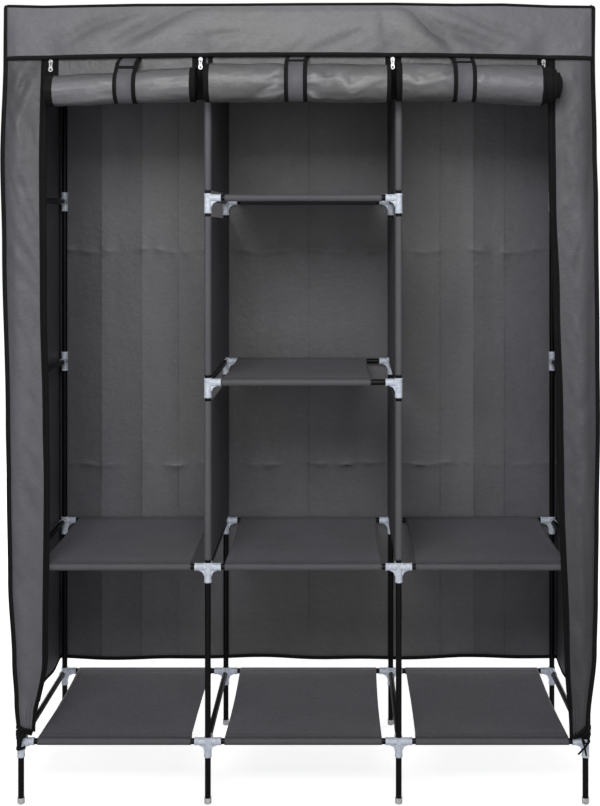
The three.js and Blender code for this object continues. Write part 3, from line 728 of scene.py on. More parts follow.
def bound_edge(shape, path, inward, width, depth):
    """A binding tape folded over an edge. inward points into the cloth at each point."""
    path = np.asarray(path, float)
    runs = directions_along(path)
    inward = np.broadcast_to(np.asarray(inward, float), path.shape)
    inward = inward - runs * np.sum(inward * runs, axis=1, keepdims=True)
    inward /= np.linalg.norm(inward, axis=1, keepdims=True)
    half = depth / 2
    upper = [(-0.9, 0.0), (-0.5, half * 0.75), (0.6, half), (width * 0.5, half * 0.92),
             (width - 0.8, half * 0.85), (width, half * 0.4)]
    section = upper + [(a, -b) for a, b in upper[:0:-1]]
    shape.sweep(path, inward, np.cross(runs, inward), section)


def cover_panel(node, rows, tone=1.0):
    return Shape().grid(rows, tone=tone).piece(
        f"{node}_cloth", "cover_cloth", COVER_CLOTH, node=node, thickness=CLOTH
    )


def bindings(node, *edges):
    """The bindings of a node's edges, each given as bound_edge takes it."""
    trim = Shape()
    for edge in edges:
        bound_edge(trim, *edge)
    return trim.piece(f"{node}_binding", "cover_cloth", BINDING_TAPE)


def fold_lift(along, around, folds):
    """How far folds lift the cloth at places given in mm along and around it. A fold is its
    line of points, its height and its width, and fades towards its ends."""
    lift = np.zeros(np.broadcast(along, around).shape)
    for path, height, width in folds:
        nearest = np.full(lift.shape, 1e9)
        run = np.zeros(lift.shape)
        for k, ((x0, y0), (x1, y1)) in enumerate(zip(path, path[1:])):
            dx, dy = x1 - x0, y1 - y0
            share = ((along - x0) * dx + (around - y0) * dy) / (dx * dx + dy * dy)
            share = np.clip(share, 0.0, 1.0)
            away = np.hypot(along - x0 - share * dx, around - y0 - share * dy)
            run = np.where(away < nearest, (k + share) / (len(path) - 1), run)
            nearest = np.minimum(nearest, away)
        fade = np.sqrt(np.sin(math.pi * (0.06 + 0.88 * run)))
        lift += height * fade * np.exp(-((nearest / width) ** 2))
    return lift


# How far a side's outer edge and its stile's inner edge are from the middle: (height, distance).
LEFT_OUTLINE = [(139, 621), (228, 628), (316, 633), (491, 642), (709, 645), (840, 647),
                (1220, 655), (1408, 659), (1633, 652), (1750, 651)]
RIGHT_OUTLINE = [(139, 621), (180, 624.5), (338, 639), (447, 641.6), (620, 643.5),
                 (840, 646.5), (1000, 645), (1320, 642), (1430, 639), (1633, 635), (1750, 636)]
LEFT_STILE = [(130, 592), (171, 590), (317, 566), (710, 562.6), (841, 565), (1100, 571),
              (1400, 573), (1750, 566)]
RIGHT_STILE = [(130, 589), (153, 587), (340, 578.6), (710, 566.6), (841, 564.6), (1103, 557),
               (1321, 549), (1517, 547), (1750, 546)]
SIDES = {"left": (-1.0, LEFT_OUTLINE, LEFT_STILE), "right": (1.0, RIGHT_OUTLINE, RIGHT_STILE)}
# The height of a stile's foot at its outer and inner edge.
STILE_FEET = {"left": (172.0, 162.0), "right": (173.0, 147.0)}
# The height of a side's hem at a share of the way from the front to the back.
SIDE_HEM = [(0.0, 171.0), (0.05, 160.0), (0.16, 147.0), (0.3, 143.0), (0.45, 150.0),
            (0.62, 165.0), (0.8, 160.0), (1.0, 164.0)]
# How far a stile swells forward.
STILE_SWELL = {"left": 5.0, "right": 8.0}
# A stile's own folds: ((x, z) of each point, depth, width).
STILE_FOLDS = {
    "left": [
        ([(-568, 1640), (-597, 1590), (-616, 1560), (-636, 1505)], 6.5, 12.0),
        ([(-600, 1640), (-631, 1590), (-643, 1550)], 4.5, 9.0),
        ([(-600, 1500), (-585, 1440)], 2.5, 8.0),
        ([(-632, 1345), (-612, 1356), (-596, 1352)], 2.0, 6.0),
        ([(-596, 1252), (-574, 1266)], 3.0, 5.0),
        ([(-640, 1240), (-634, 1000), (-640, 780)], 2.5, 9.0),
        ([(-600, 900), (-580, 880)], 2.0, 6.0),
        ([(-626, 520), (-606, 500), (-590, 505)], 2.2, 7.0),
    ],
    "right": [
        ([(622, 1620), (625, 1400), (617, 1300)], 4.0, 8.0),
        ([(583, 1345), (612, 1352)], 2.0, 8.0),
        ([(628, 1180), (624, 900), (630, 700)], 3.5, 9.0),
        ([(600, 1225), (590, 1140)], 2.0, 8.0),
        ([(612, 640), (620, 420), (612, 300)], 3.0, 9.0),
    ],
}
# Painted shade on a stile at each height: darker towards the top of both stiles, and darkest at
# the foot of the right one.
STILE_SHADES = {
    "left": [(150, 0.98), (900, 0.96), (1250, 0.8), (1480, 0.58), (1640, 0.58), (1750, 0.72)],
    "right": [(150, 0.38), (400, 0.46), (900, 0.64), (1250, 0.66), (1480, 0.54), (1750, 0.7)],
}
# How wide the zip tape beside a stile is at each height.
TAPE_WIDTHS = [(150, 6.5), (400, 9.0), (900, 10.5), (1740, 13.0)]


def side_seam(side, z):
    """Where the corner seam of a side is, as its distance from the middle."""
    return eased(SIDES[side][1], z) - PIPING


def side_points(side):
    """The grid of a side panel and its stile: rows down from the top, columns from the back
    corner round the front corner to the stile's grey edge. Also the number of the corner's
    column."""
    sign, _, stile = SIDES[side]
    outer_foot, inner_foot = STILE_FEET[side]
    depths = np.linspace(1.0, 0.0, 30)
    columns = [(depth, 0.0, eased(SIDE_HEM, depth)) for depth in depths]
    columns += [(0.0, share, outer_foot + (inner_foot - outer_foot) * share)
                for share in np.linspace(0.0, 1.0, 22)[1:]]
    drops = np.linspace(0.0, 1.0, 120)
    clear = abs(COLUMNS["left_outer"]) + SOCKET_RADIUS + 1.8
    rows = np.zeros((len(drops), len(columns), 3))
    for j, (depth, share, foot) in enumerate(columns):
        y = STILE_PLANE + (BACK_PLANE - STILE_PLANE) * depth
        for i, drop in enumerate(drops):
            z = PANEL_TOP + (foot - PANEL_TOP) * drop
            reach = side_seam(side, z)
            x = reach + (BACK_HALF_WIDTH - reach) * depth + (eased(stile, z) - reach) * share
            # The panel hangs clear of the side's connectors.
            if depth > 0.0:
                x = max(x, clear + 3.0 * math.sin(math.pi * depth))
            rows[i, j] = (sign * x, y, z)
    return rows, len(depths) - 1


def side_folds(side, rows, corner):
    """Moves a side's points into its folds: long soft ones in the panel, and in the stile a
    rounded fold beside the seam, slanting creases and a gathered foot."""
    seed = 21 if side == "left" else 22
    drop = np.linspace(0.0, 1.0, rows.shape[0])[:, None]
    soft = ripple(rows[:, :corner], (300.0, 120.0, 420.0), seed)
    held = np.sin(math.pi * np.linspace(1.0, 0.0, corner + 1)[:-1]) ** 0.7
    rows[:, :corner, 0] += SIDES[side][0] * np.abs(soft) * held * (2 + 6 * drop)

    share = np.linspace(0.0, 1.0, rows.shape[1] - corner)
    stile = rows[:, corner:]
    x, y, z = stile[..., 0], stile[..., 1], stile[..., 2]
    slant = np.stack([x + 0.45 * z, y, z - 0.45 * x], -1)
    counter = np.stack([x - 0.5 * z, y, z + 0.5 * x], -1)
    height = STILE_SWELL[side] * np.sin(math.pi * share**0.58)
    height = height + 3.0 * ripple(stile, (48.0, 50.0, 460.0), seed + 5)
    height += 5.0 * (0.55 - np.abs(ripple(slant, (30.0, 50.0, 170.0), seed + 9, 1)))
    height += 3.5 * (0.5 - np.abs(ripple(counter, (34.0, 50.0, 120.0), seed + 14, 1)))
    height += 0.6 * ripple(stile, (24.0, 50.0, 40.0), seed + 17)
    height -= fold_lift(x, z, STILE_FOLDS[side])
    free = smooth((drop - 0.045) / 0.06) * np.sin(math.pi * share**0.8) ** 0.6
    gathered = smooth((drop - 0.93) / 0.07) * np.sin(5 * math.pi * share)
    rows[:, corner:, 1] -= np.maximum(height, -0.5) * free + 2.2 * np.abs(gathered)
    return rows


def side_tone(side, rows, corner):
    """How light each point of a side is: painted shade by height on its stile, painted shade in
    the hollows of its stile's folds, a painted highlight where the stile stands forward, and
    random unevenness.
    """
    tone = np.ones(rows.shape[:2])
    stile = rows[:, corner:]
    depth = (STILE_PLANE - stile[..., 1]) / 6.0
    height_shade = np.interp(stile[..., 2], *zip(*STILE_SHADES[side]))
    fold_shade = 0.055 * fold_lift(stile[..., 0], stile[..., 2], STILE_FOLDS[side])
    # Painted shade and highlight: darker by height and in the fold hollows, lighter where the
    # cloth stands forward.
    tone[:, corner:] = height_shade * (1.0 - fold_shade + 0.07 * np.clip(depth - 0.9, -1.0, 1.2))
    return tone * (1 + 0.04 * ripple(rows, (60.0, 60.0, 160.0), 27))


def cover_side(side):
    node = f"cover_side_{side}"
    sign = SIDES[side][0]
    rows, corner = side_points(side)
    rows = side_folds(side, rows, corner)
    cloth = cover_panel(node, rows, side_tone(side, rows, corner))

    seam = rows[:, corner]
    rise = header_top(sign * COVER_HALF_WIDTH) - seam[0][2]
    raised = [seam[0] + (-sign * 5.0, 0, rise + 1.0), seam[0] + (-sign * 1.2, 0, rise - 1.2),
              seam[0] + (0, 0, rise - 6.0)]
    outer = np.vstack([raised, seam[4:]]) + (sign * PIPING, -1.4, 0.0)
    back_seam = rows[:, 0] + (sign * 2.0, 5.0, 0.0)
    binding = bindings(
        node,
        (outer, (-sign, 0.15, -0.05), PIPING + 0.6, 3.0),
        (back_seam, (-sign * 0.4, -1.0, 0.0), 6.0, 2.6),
        (rows[-1], rows[-2] - rows[-1], 7.0, 3.2),
    )

    edge = rows[:, -1]
    reach = np.outer(-sign * np.interp(edge[:, 2], *zip(*TAPE_WIDTHS)), ACROSS)
    inner = edge + reach + (0.0, 0.4, 0.0)
    middle = edge + reach * 0.45 + (0.0, 0.9, 0.0)
    under = edge + (sign * 4.0, 1.1, 0.0)
    tape = Shape().grid(np.stack([under, edge + (0.0, 1.0, 0.0), middle, inner], axis=1))
    strip = tape.piece(f"{node}_zip_tape", "cover_cloth", ZIP_TAPE, thickness=0.8)
    coil = Shape().tube(spaced(inner[::6] + (-sign * 0.2, -0.3, 0.0), 9.0), 1.3, 10)
    bound_edge(coil, edge + (-sign * 1.0, -1.0, 0.0), (sign, 0.0, 0.0), 3.5, 1.6)
    teeth = coil.piece(f"{node}_zip_coil", "cover_cloth", ZIP_TAPE)


# The header's top edge, which dips where no tube carries it: (x, height).
HEADER_EDGE = [(-650, 1744.0), (-563, 1742.0), (-360, 1746.0), (-170, 1746.4), (-7, 1747.6),
               (194, 1748.3), (329, 1746.2), (434, 1746.8), (539, 1742.7), (621, 1741.8),
               (650, 1742.6)]
# The header swells between two slanting lines: (x at the top, x at the hem) of each.
HEADER_SWELL = ((-236.0, -424.0), (222.0, 336.0))
# How wide the change on each side of those lines is, and the one at the header's ends.
SWELL_EDGE = 14.0
END_FADE = 30.0
# How far beside a zip the header is drawn in.
ZIP_PINCH = 26.0
# Its folds: ((x, mm below the top edge) of each point, depth, width).
HEADER_FOLDS = [
    ([(-216, -10), (-293, 24), (-343, 54), (-410, 90)], 7.5, 19.0),
    ([(-340, 4), (-426, 33), (-470, 50), (-530, 84)], 5.0, 16.0),
    ([(-228, 100), (-210, 74), (-176, 66), (-130, 66)], 3.2, 10.0),
    ([(205, -14), (262, 33), (294, 68), (325, 96)], 8.0, 14.0),
    ([(262, 40), (347, 65), (436, 100)], 6.0, 18.0),
    ([(315, 2), (371, 28), (412, 50), (478, 66)], 3.4, 13.0),
    ([(168, 6), (185, 90)], 2.8, 11.0),
    ([(31, 104), (80, 80), (134, 62)], 2.8, 11.0),
]
# Painted highlight along the header, following its slanting folds, lightest over its swollen
# middle: (x, tone).
HEADER_SHEEN = [(-650, 1.08), (-400, 1.02), (-250, 1.3), (0, 1.34), (250, 1.3), (420, 1.03),
                (650, 1.07)]


def header_top(x):
    return np.interp(x, *zip(*HEADER_EDGE))


def header_drape(x, fall):
    """How far the header stands in front of its plane, at a share of the way down."""
    height = header_top(0.0) - HEADER_HEM
    (left_top, left_hem), (right_top, right_hem) = HEADER_SWELL
    left_lean = height / math.hypot(height, left_hem - left_top)
    right_lean = height / math.hypot(height, right_hem - right_top)
    left = (x - left_top - (left_hem - left_top) * fall) * left_lean
    right = (right_top + (right_hem - right_top) * fall - x) * right_lean
    left, right = left + SWELL_EDGE, right + SWELL_EDGE
    inside = smooth(left / (2 * SWELL_EDGE)) * smooth(right / (2 * SWELL_EDGE))
    outer = 7.5 * np.sin(2.0 * fall)
    swollen = 3.0 + 7.0 * np.sin(2.6 * fall)
    body = outer + (swollen - outer) * inside * smooth(fall * 6)
    held = np.sin(math.pi * np.clip(0.12 + 0.72 * fall, 0, 1))
    body -= fold_lift(x, fall * height, HEADER_FOLDS) * held
    places = np.stack([x, 0 * x, fall * height], axis=-1)
    slanted = np.stack([x + 1.2 * fall * height, 0 * x, fall * height], axis=-1)
    body += fall * (2.0 * ripple(places, (190.0, 1.0, 260.0), 31)
                    + 1.3 * ripple(slanted, (40.0, 1.0, 110.0), 33))
    body += 0.5 * ripple(places, (20.0, 1.0, 24.0), 35) * held
    for zip_x in ZIPS.values():
        pinch = np.exp(-(((x - zip_x) / ZIP_PINCH) ** 2)) * smooth((fall - 0.3) / 0.62)
        body += (np.minimum(body, 2.4) - body) * pinch
    left_end = smooth((x + COVER_HALF_WIDTH) / END_FADE)
    right_end = smooth((RIGHT_OUTLINE[-1][1] - x) / END_FADE)
    return np.maximum(body, 0.4) * (left_end * right_end)


def cover_header():
    left = -side_seam("left", 1690) - 1.0
    right = side_seam("right", 1690) + 1.0
    x, fall = np.meshgrid(np.linspace(left, right, 340), np.linspace(0.0, 1.0, 46))
    top = header_top(x)
    z = top + (header_hem(x) - top) * fall
    rows = np.stack([x, HEADER_PLANE - header_drape(x, fall), z], axis=-1)
    below = fall * (header_top(0.0) - HEADER_HEM)
    # Painted highlight over the swollen middle, painted shade in the hollows of the folds, and
    # random wear.
    level = np.interp(x + below, *zip(*HEADER_SHEEN))
    fold_shade = 0.045 * fold_lift(x, below, HEADER_FOLDS)
    wear = 0.04 * ripple(rows, (70.0, 50.0, 50.0), 37)
    piece = cover_panel("cover_header", rows, level - fold_shade + wear)
    edge = np.vstack([rows[0], rows[0, -1] + (6.0, 0.0, -1.0)]) + (0.0, -0.4, 1.4)
    binding = bindings(
        "cover_header",
        (edge, (0.0, 0.0, -1.0), 5.2, 3.4),
        (rows[-1] + (0.0, -0.3, 0.0), rows[-5] - rows[-1], 7.8, 3.0),
    )


def cover_roof():
    """The roof, which dips between the tubes that carry it."""
    xs = np.linspace(-side_seam("left", 1739), side_seam("right", 1739), 110)
    ys = np.linspace(HEADER_PLANE + 0.5, BACK_PLANE + 4.0, 40)
    columns = sorted(COLUMNS.values())
    hanging_rail = place("hanging_rail_left", 1)
    free = np.zeros((len(ys), len(xs)))
    for k, (start, end) in enumerate(zip(columns, columns[1:])):
        beams = [ys[0], ys[-1]] if k == 1 else [ys[0], hanging_rail, ys[-1]]
        for front, back in zip(beams, beams[1:]):
            along = np.sin(math.pi * np.clip((xs - start) / (end - start), 0, 1)) ** 0.8
            across = np.sin(math.pi * np.clip((ys - front) / (back - front), 0, 1)) ** 0.8
            free = np.maximum(free, np.outer(across, along) * (1.0 if k == 1 else 0.8))
    rows = np.zeros((*free.shape, 3))
    rows[..., 0], rows[..., 1] = xs[None, :], ys[:, None]
    dip = 6.5 + 1.6 * np.abs(ripple(rows, (150.0, 120.0, 50.0), 41))
    rows[..., 2] = ROOF_TOP - 0.5 - dip * free
    piece = cover_panel("cover_roof", rows)
    edges = ((rows[:, 0], (0.2, 0.0, -1.0)), (rows[:, -1], (-0.2, 0.0, -1.0)),
             (rows[-1], (0.0, -0.2, -1.0)))
    raised = [(edge + UP * 5.0, inward, 6.0, 3.0) for edge, inward in edges]
    binding = bindings("cover_roof", *raised)


# The back panel's packing creases: (x, how far the cloth stands back there).
BACK_CREASES = [
    (-632, 0.0), (-600, 1.6), (-527, 0.4), (-490, 2.6), (-424, 0.6), (-350, 2.8), (-331, 1.4),
    (-270, 2.6), (-209, 1.6), (-105, 2.8), (0, 1.0), (60, 2.4), (209, 1.6), (272, 2.8),
    (335, 0.8), (390, 2.8), (421, 1.0), (470, 2.4), (499, 0.8), (570, 2.4), (632, 0.0),
]
# Painted light and shade of the strips between those creases that show: (the strip's left edge,
# its tone).
BACK_STRIPS = [(-640, 0.74), (-527, 0.94), (-424, 1.08), (-331, 1.04), (-205, 0.86),
               (0, 0.88), (205, 1.0), (335, 1.08), (421, 0.92), (499, 1.03)]
# Painted light at each height, strongest towards the top, where the rolls shade the back.
BACK_HEIGHT_LIGHT = [(165, 1.04), (400, 1.06), (661, 1.16), (900, 1.0), (1200, 1.02), (1400, 1.45),
            (1700, 1.65)]
# The heights of its two cross folds, how far they zigzag, and over which pitch.
BACK_FOLDS = (1203.0, 661.0)
FOLD_SWING = 5.0
FOLD_PITCH = 104.0


def cross_fold(x, z, height, seed):
    """How far places are above a cross fold of the back, which zigzags between the upright
    creases, and how strong it is there."""
    along = np.stack([x, 0 * x, 0 * x], -1)
    swings = (x - BACK_STRIPS[0][0]) / FOLD_PITCH
    zigzag = 2 * FOLD_SWING * np.abs(swings % 2.0 - 1.0) - FOLD_SWING
    strength = np.clip(0.3 + 1.2 * ripple(along, 45.0, 70 + seed), 0, 1.3)
    return z - height - zigzag - 5.0 * ripple(along, 70.0, 60 + seed), strength


def back_points():
    """The grid of the back, with more points beside its creases and cross folds."""
    lines = [edge + step for edge, _ in BACK_STRIPS[1:] for step in (-5, -2.5, -1, 0, 1, 2.5, 5)]
    xs = np.unique(np.concatenate([np.linspace(-BACK_HALF_WIDTH, BACK_HALF_WIDTH, 150), lines]))
    near = [(PANEL_TOP - z) / (PANEL_TOP - HEM) for z in BACK_FOLDS]
    rows_near = [at + step for at in near for step in np.arange(-0.016, 0.016, 0.0016)]
    drops = np.unique(np.concatenate([np.linspace(0.0, 1.0, 110), rows_near]))
    x, drop = np.meshgrid(xs, drops)
    wave = 4.0 * np.sin(x / 97.0) + 2.5 * np.sin(x / 41.0 + 1.3)
    z = PANEL_TOP + (HEM - 1.0 - wave * 0.6 - PANEL_TOP) * drop
    held = np.sin(math.pi * np.clip(drop, 0.02, 0.985)) ** 0.35
    y = BACK_PLANE + 0.8 * np.interp(x, *zip(*BACK_CREASES)) * held
    y += (1.6 + 1.6 * ripple(np.stack([x, y, z], -1), (150.0, 100.0, 360.0), 51)) * held
    for k, height in enumerate(BACK_FOLDS):
        away, strength = cross_fold(x, z, height, k)
        y -= 3.8 * strength * np.exp(-np.abs(away) / 11.0) * held
    return np.stack([x, y, z], -1)


def back_tone(rows):
    """How light each point of the back is: painted light and shade of its strips, painted shade
    along its creases and beside them, a painted highlight and shade at the puckers along its two
    cross folds, random unevenness, and painted light by height."""
    x, z = rows[..., 0], rows[..., 2]
    tone = np.full(x.shape, BACK_STRIPS[0][1])
    for (edge, level), (_, before) in zip(BACK_STRIPS[1:], BACK_STRIPS):
        # Painted light and shade of each strip.
        tone += (level - before) * smooth((x - edge + 2) / 4)
        fade = 0.6 + 0.6 * ripple(np.stack([0 * x, 0 * x, z], -1), 110.0, 7 + edge / 50)
        # Painted shade along the crease, and beside it on the side away from the middle.
        tone -= 0.36 * np.clip(fade, 0, 1) * np.exp(-(((x - edge) / 1.6) ** 2))
        beside = np.clip((edge - x) * (1 if edge < 0 else -1), 0, None)
        tone -= 0.16 * np.clip(fade, 0.3, 1) * np.exp(-beside / 26.0) * (beside > 0)
    for k, height in enumerate(BACK_FOLDS):
        away, strength = cross_fold(x, z, height, k)
        # Painted highlight along each pucker and painted shade just below it.
        tone += 0.3 * strength * np.exp(-((away / 3.5) ** 2))
        tone -= 0.2 * strength * np.exp(-(((away + 8.0) / 5.0) ** 2))
    tone += 0.09 * ripple(rows, (240.0, 100.0, 200.0), 77)
    tone += 0.05 * ripple(rows, (30.0, 100.0, 90.0), 78)
    return tone * np.interp(z, *zip(*BACK_HEIGHT_LIGHT))


def cover_back():
    rows = back_points()
    piece = cover_panel("cover_back", rows, back_tone(rows))
    binding = bindings("cover_back", (rows[-1], rows[-2] - rows[-1], 8.0, 3.0))


# The rolled doors.

ROLL_TURNS = 9
# How many points its line has on the flat stretch, round the outer turn and round each inner one.
FLAP_STEPS = 8
OUTER_STEPS = 100
INNER_STEPS = 22
ROLL_CORE = 9.0
# How much taller than deep a roll is.
OVAL = 1.1
# Painted shade on the flat cloth between the header's hem and the roll, which lies in the header's
# shadow.
FLAP_SHADE = 0.42
# How much thinner a roll is under its strap, and how far beside the strap's middle.
STRAP_BITE = 0.09
BITE_REACH = 44.0
# How far beside its middle a strap holds the cloth flat.
STRAP_HOLD = 27.0
# For each bay: how far the roll's left end is from the CAD node's, its radius and its middle's
# drop below the hem at both ends, the black bound width at both ends, how far the inner turns
# stand out and how light the cloth is.
ROLLS = {
    "left": {"shift": -9.0, "radii": (31.5, 35.5), "drops": (73.0, 64.0),
             "bands": (17.0, 11.0), "overruns": (3.0, 4.0), "level": 1.16},
    "centre": {"shift": 8.0, "radii": (40.0, 39.5), "drops": (61.0, 62.0),
               "bands": (10.0, 8.0), "overruns": (3.0, 3.0), "level": 1.0},
    "right": {"shift": 0.0, "radii": (39.5, 40.5), "drops": (58.0, 61.5),
              "bands": (11.0, 4.0), "overruns": (2.0, 41.0), "level": 0.96},
}
# Painted shade on a roll at each angle above its front: darker over its top and its underside.
ROLL_SHADES = [(-180, 0.7), (-60, 0.7), (-35, 0.92), (-8, 1.08), (14, 1.02), (40, 0.74),
               (90, 0.6), (180, 0.6)]
# The folds in a roll's outer cloth: (points, height, width). A point is mm to the right of the
# strap's middle and degrees above the roll's front.
ROLL_FOLDS = {
    "left": [
        ([(-60, 6), (-28, 14)], 2.0, 6.0),
        ([(-96, -38), (-30, -22)], 2.2, 7.0),
        ([(-150, -50), (-90, -58), (-30, -48)], 2.2, 6.0),
        ([(30, 22), (80, 30)], 1.6, 8.0),
        ([(28, -20), (90, -32)], 1.4, 9.0),
    ],
    "centre": [
        ([(-56, 12), (-36, 24), (-26, 40)], 3.6, 5.0),
        ([(-79, -58), (-46, -23), (-26, -14)], 4.0, 5.5),
        ([(-63, -62), (-26, -36)], 3.2, 4.5),
        ([(-182, 0), (-99, 22), (-46, 62)], 2.6, 13.0),
        ([(28, 20), (59, 15)], 3.2, 5.0),
        ([(26, -6), (70, -14)], 2.2, 6.0),
        ([(27, -41), (51, -54)], 3.6, 5.0),
        ([(88, 34), (93, 0), (117, -28), (144, -6), (172, 16)], 4.2, 8.0),
    ],
    "right": [
        ([(-123, 9), (-99, -10), (-75, 3), (-51, 14), (-26, -2)], 3.2, 6.0),
        ([(-110, 46), (-60, 34), (-28, 44)], 2.6, 8.0),
        ([(-90, -46), (-30, -34)], 2.0, 7.0),
        ([(28, 8), (46, 22)], 2.6, 6.0),
        ([(28, -18), (100, -26), (180, -20)], 1.4, 12.0),
    ],
}
# Painted highlights and painted shade streaking beside those folds, which also lift the cloth a
# little: (points, how much lighter, width).
ROLL_STREAKS = {
    "left": [
        ([(-70, -46), (-50, -38), (-20, -44)], 0.2, 4.0),
        ([(-60, -26), (-40, -22), (-18, -26)], -0.14, 4.0),
        ([(-56, 22), (-34, 14), (-18, 20)], 0.16, 4.0),
    ],
    "centre": [
        ([(-48, 20), (-34, 27), (-18, 27)], 0.28, 3.5),
        ([(-48, 8), (-34, 9), (-18, 6)], -0.22, 3.5),
        ([(-80, -32), (-62, -20), (-46, -13), (-18, -17)], -0.26, 4.0),
        ([(-80, -50), (-56, -42), (-30, -36), (-16, -34)], 0.36, 4.5),
        ([(-150, 2), (-110, 16), (-60, 38)], -0.14, 9.0),
        ([(18, 8), (32, 15), (46, 21)], 0.3, 3.5),
        ([(18, -4), (48, -1), (70, 6)], 0.16, 4.5),
        ([(18, -16), (34, -12), (50, -18)], -0.26, 4.0),
        ([(18, -30), (32, -40), (52, -62)], 0.36, 4.5),
        ([(58, 26), (66, 10), (78, 24)], -0.2, 6.0),
        ([(84, 8), (100, 28), (114, 35)], 0.14, 5.0),
        ([(96, 10), (112, -22), (119, -34), (132, -26), (160, -6), (190, 6)], 0.24, 4.5),
        ([(112, 14), (119, -6), (128, 4)], -0.12, 6.0),
    ],
    "right": [
        ([(-126, -4), (-100, -15), (-77, -9), (-54, -3), (-20, 18)], 0.26, 4.0),
        ([(-112, 2), (-98, -4), (-77, 4), (-54, 12), (-20, 34)], -0.2, 4.5),
        ([(18, 12), (34, -8)], 0.22, 3.0),
    ],
}
# How many mm round a roll's outer cloth a degree is.
ARC_PER_DEGREE = math.radians(1) * 42.0


def round_the_roll(folds, higher=1.0, wider=1.0):
    """Folds whose points are in mm along the roll and round it instead of degrees."""
    return [([(x, angle * ARC_PER_DEGREE) for x, angle in path], higher * height, wider * width)
            for path, height, width in folds]


def roll_ends(bay):
    """Both ends of a bay's roll, without the inner turns that stand out at the right."""
    node = f"door_roll_{bay}"
    low = low_of(node, 0) + ROLLS[bay]["shift"]
    high = ZIPS["right_outer"] - ZIP_GAP - 1.0 if bay == "right" else high_of(node, 0)
    return low, high


def roll_at(bay, x):
    """A roll's radius, the place of its middle and its height at an x."""
    start, end = roll_ends(bay)
    share = (x - start) / (end - start)
    radius, drop = ((1 - share) * ROLLS[bay][key][0] + share * ROLLS[bay][key][1]
                    for key in ("radii", "drops"))
    return radius, ROLL_BACK - radius, header_hem(x) - drop


def puckers(bay, x, degrees):
    """How far a roll's outer cloth is lifted at an x and at degrees above its front, and how much
    painted highlight and shade it has there."""
    along = x - place(f"roll_strap_{bay}", 0)
    around = degrees * ARC_PER_DEGREE
    streaks = fold_lift(along, around, round_the_roll(ROLL_STREAKS[bay], 1.35))
    lift = fold_lift(along, around, round_the_roll(ROLL_FOLDS[bay], 1.2, 2.0)) + 3.2 * streaks
    places = np.stack(np.broadcast_arrays(x, around, 0.0), axis=-1)
    seed = 80 + len(bay)
    lift += 1.8 * ripple(places, (110.0, 45.0, 1.0), seed)
    lift += 1.8 * (0.4 - np.abs(ripple(places, (60.0, 22.0, 1.0), seed + 5, 1)))
    lift += 0.5 * ripple(places, (22.0, 16.0, 1.0), seed + 3)
    under_strap = np.exp(-((along / STRAP_HOLD) ** 6))
    return lift * (1 - under_strap), streaks


def roll_rows(bay, xs):
    """The grid of a rolled door: at each x, a line from the seam under the header to the core.
    Also the turns at each of the line's points, 0 on the flat stretch, and their tones, with
    painted shade and highlights."""
    outer = np.linspace(0.0, 1.0, OUTER_STEPS, endpoint=False)
    inner = np.linspace(1.0, ROLL_TURNS, (ROLL_TURNS - 1) * INNER_STEPS + 1)
    turns = np.concatenate([outer, inner])
    flat = FLAP_STEPS
    degrees = (360.0 - np.minimum(turns, 1.5) * 360.0) % 360.0 - 180.0
    lift, streaks = puckers(bay, xs[:, None], -degrees[None, :])
    lift *= smooth(turns * 7.0)[None, :] * np.exp(-1.5 * np.clip(turns - 1, 0, None))[None, :]
    beside = (xs - place(f"roll_strap_{bay}", 0)) / BITE_REACH
    bite = 1 - STRAP_BITE * np.exp(-(beside**2))
    rows = np.zeros((len(xs), flat + len(turns), 3))
    rows[..., 0] = xs[:, None]
    for i, x in enumerate(xs):
        radius, middle, height = roll_at(bay, x)
        reach = radius - 1.0
        arm = (reach - (reach - ROLL_CORE) / ROLL_TURNS * turns) * bite[i] + lift[i]
        angle = 2 * math.pi * turns
        rows[i, flat:, 1] = middle + arm * np.cos(angle)
        rows[i, flat:, 2] = height - arm * np.sin(angle) * OVAL
        hem = header_hem(x)
        rows[i, :3, 1] = DOOR_PLANE
        rows[i, :3, 2] = (hem + 8.0, hem + 2.0, hem - 5.0)
        sway = np.linspace(0.0, 1.0, flat - 2)[1:]
        first = rows[i, flat]
        rows[i, 3:flat, 1] = DOOR_PLANE + (first[1] - DOOR_PLANE) * sway**2
        rows[i, 3:flat, 2] = hem - 5.0 + (first[2] - hem + 5.0) * sway
    shade = np.interp(-degrees, *zip(*ROLL_SHADES)) * ROLLS[bay]["level"]
    tone = np.full(rows.shape[:2], FLAP_SHADE)
    # Painted shade by angle, a painted highlight on raised folds and shade in their hollows, and
    # the painted streaks.
    tone[:, flat:] = shade + 0.06 * np.clip(lift - 1.0, -2.0, 3.0) + streaks
    # Painted shade where the flat cloth turns onto the roll.
    shaded = slice(flat, flat + 6)
    tone[:, shaded] = np.minimum(tone[:, shaded], np.linspace(FLAP_SHADE, 0.7, 6))
    return rows, np.concatenate([np.zeros(flat), turns]), tone


def overruns(turns, reach):
    """How far each turn stands out at a roll's end: in steps where that is long."""
    if reach < 10:
        return reach * np.clip(turns / ROLL_TURNS, 0, 1) + 1.2 * np.sin(turns * 2.1)
    steps = 17.0 * smooth((turns - 0.94) / 0.12) + 11.0 * smooth((turns - 2.0) / 0.4)
    steps += 9.0 * smooth((turns - 3.6) / 0.5) + 4.0 * smooth((turns - 5.5) / 2)
    return steps + 0.8 * np.sin(turns * 2.3)


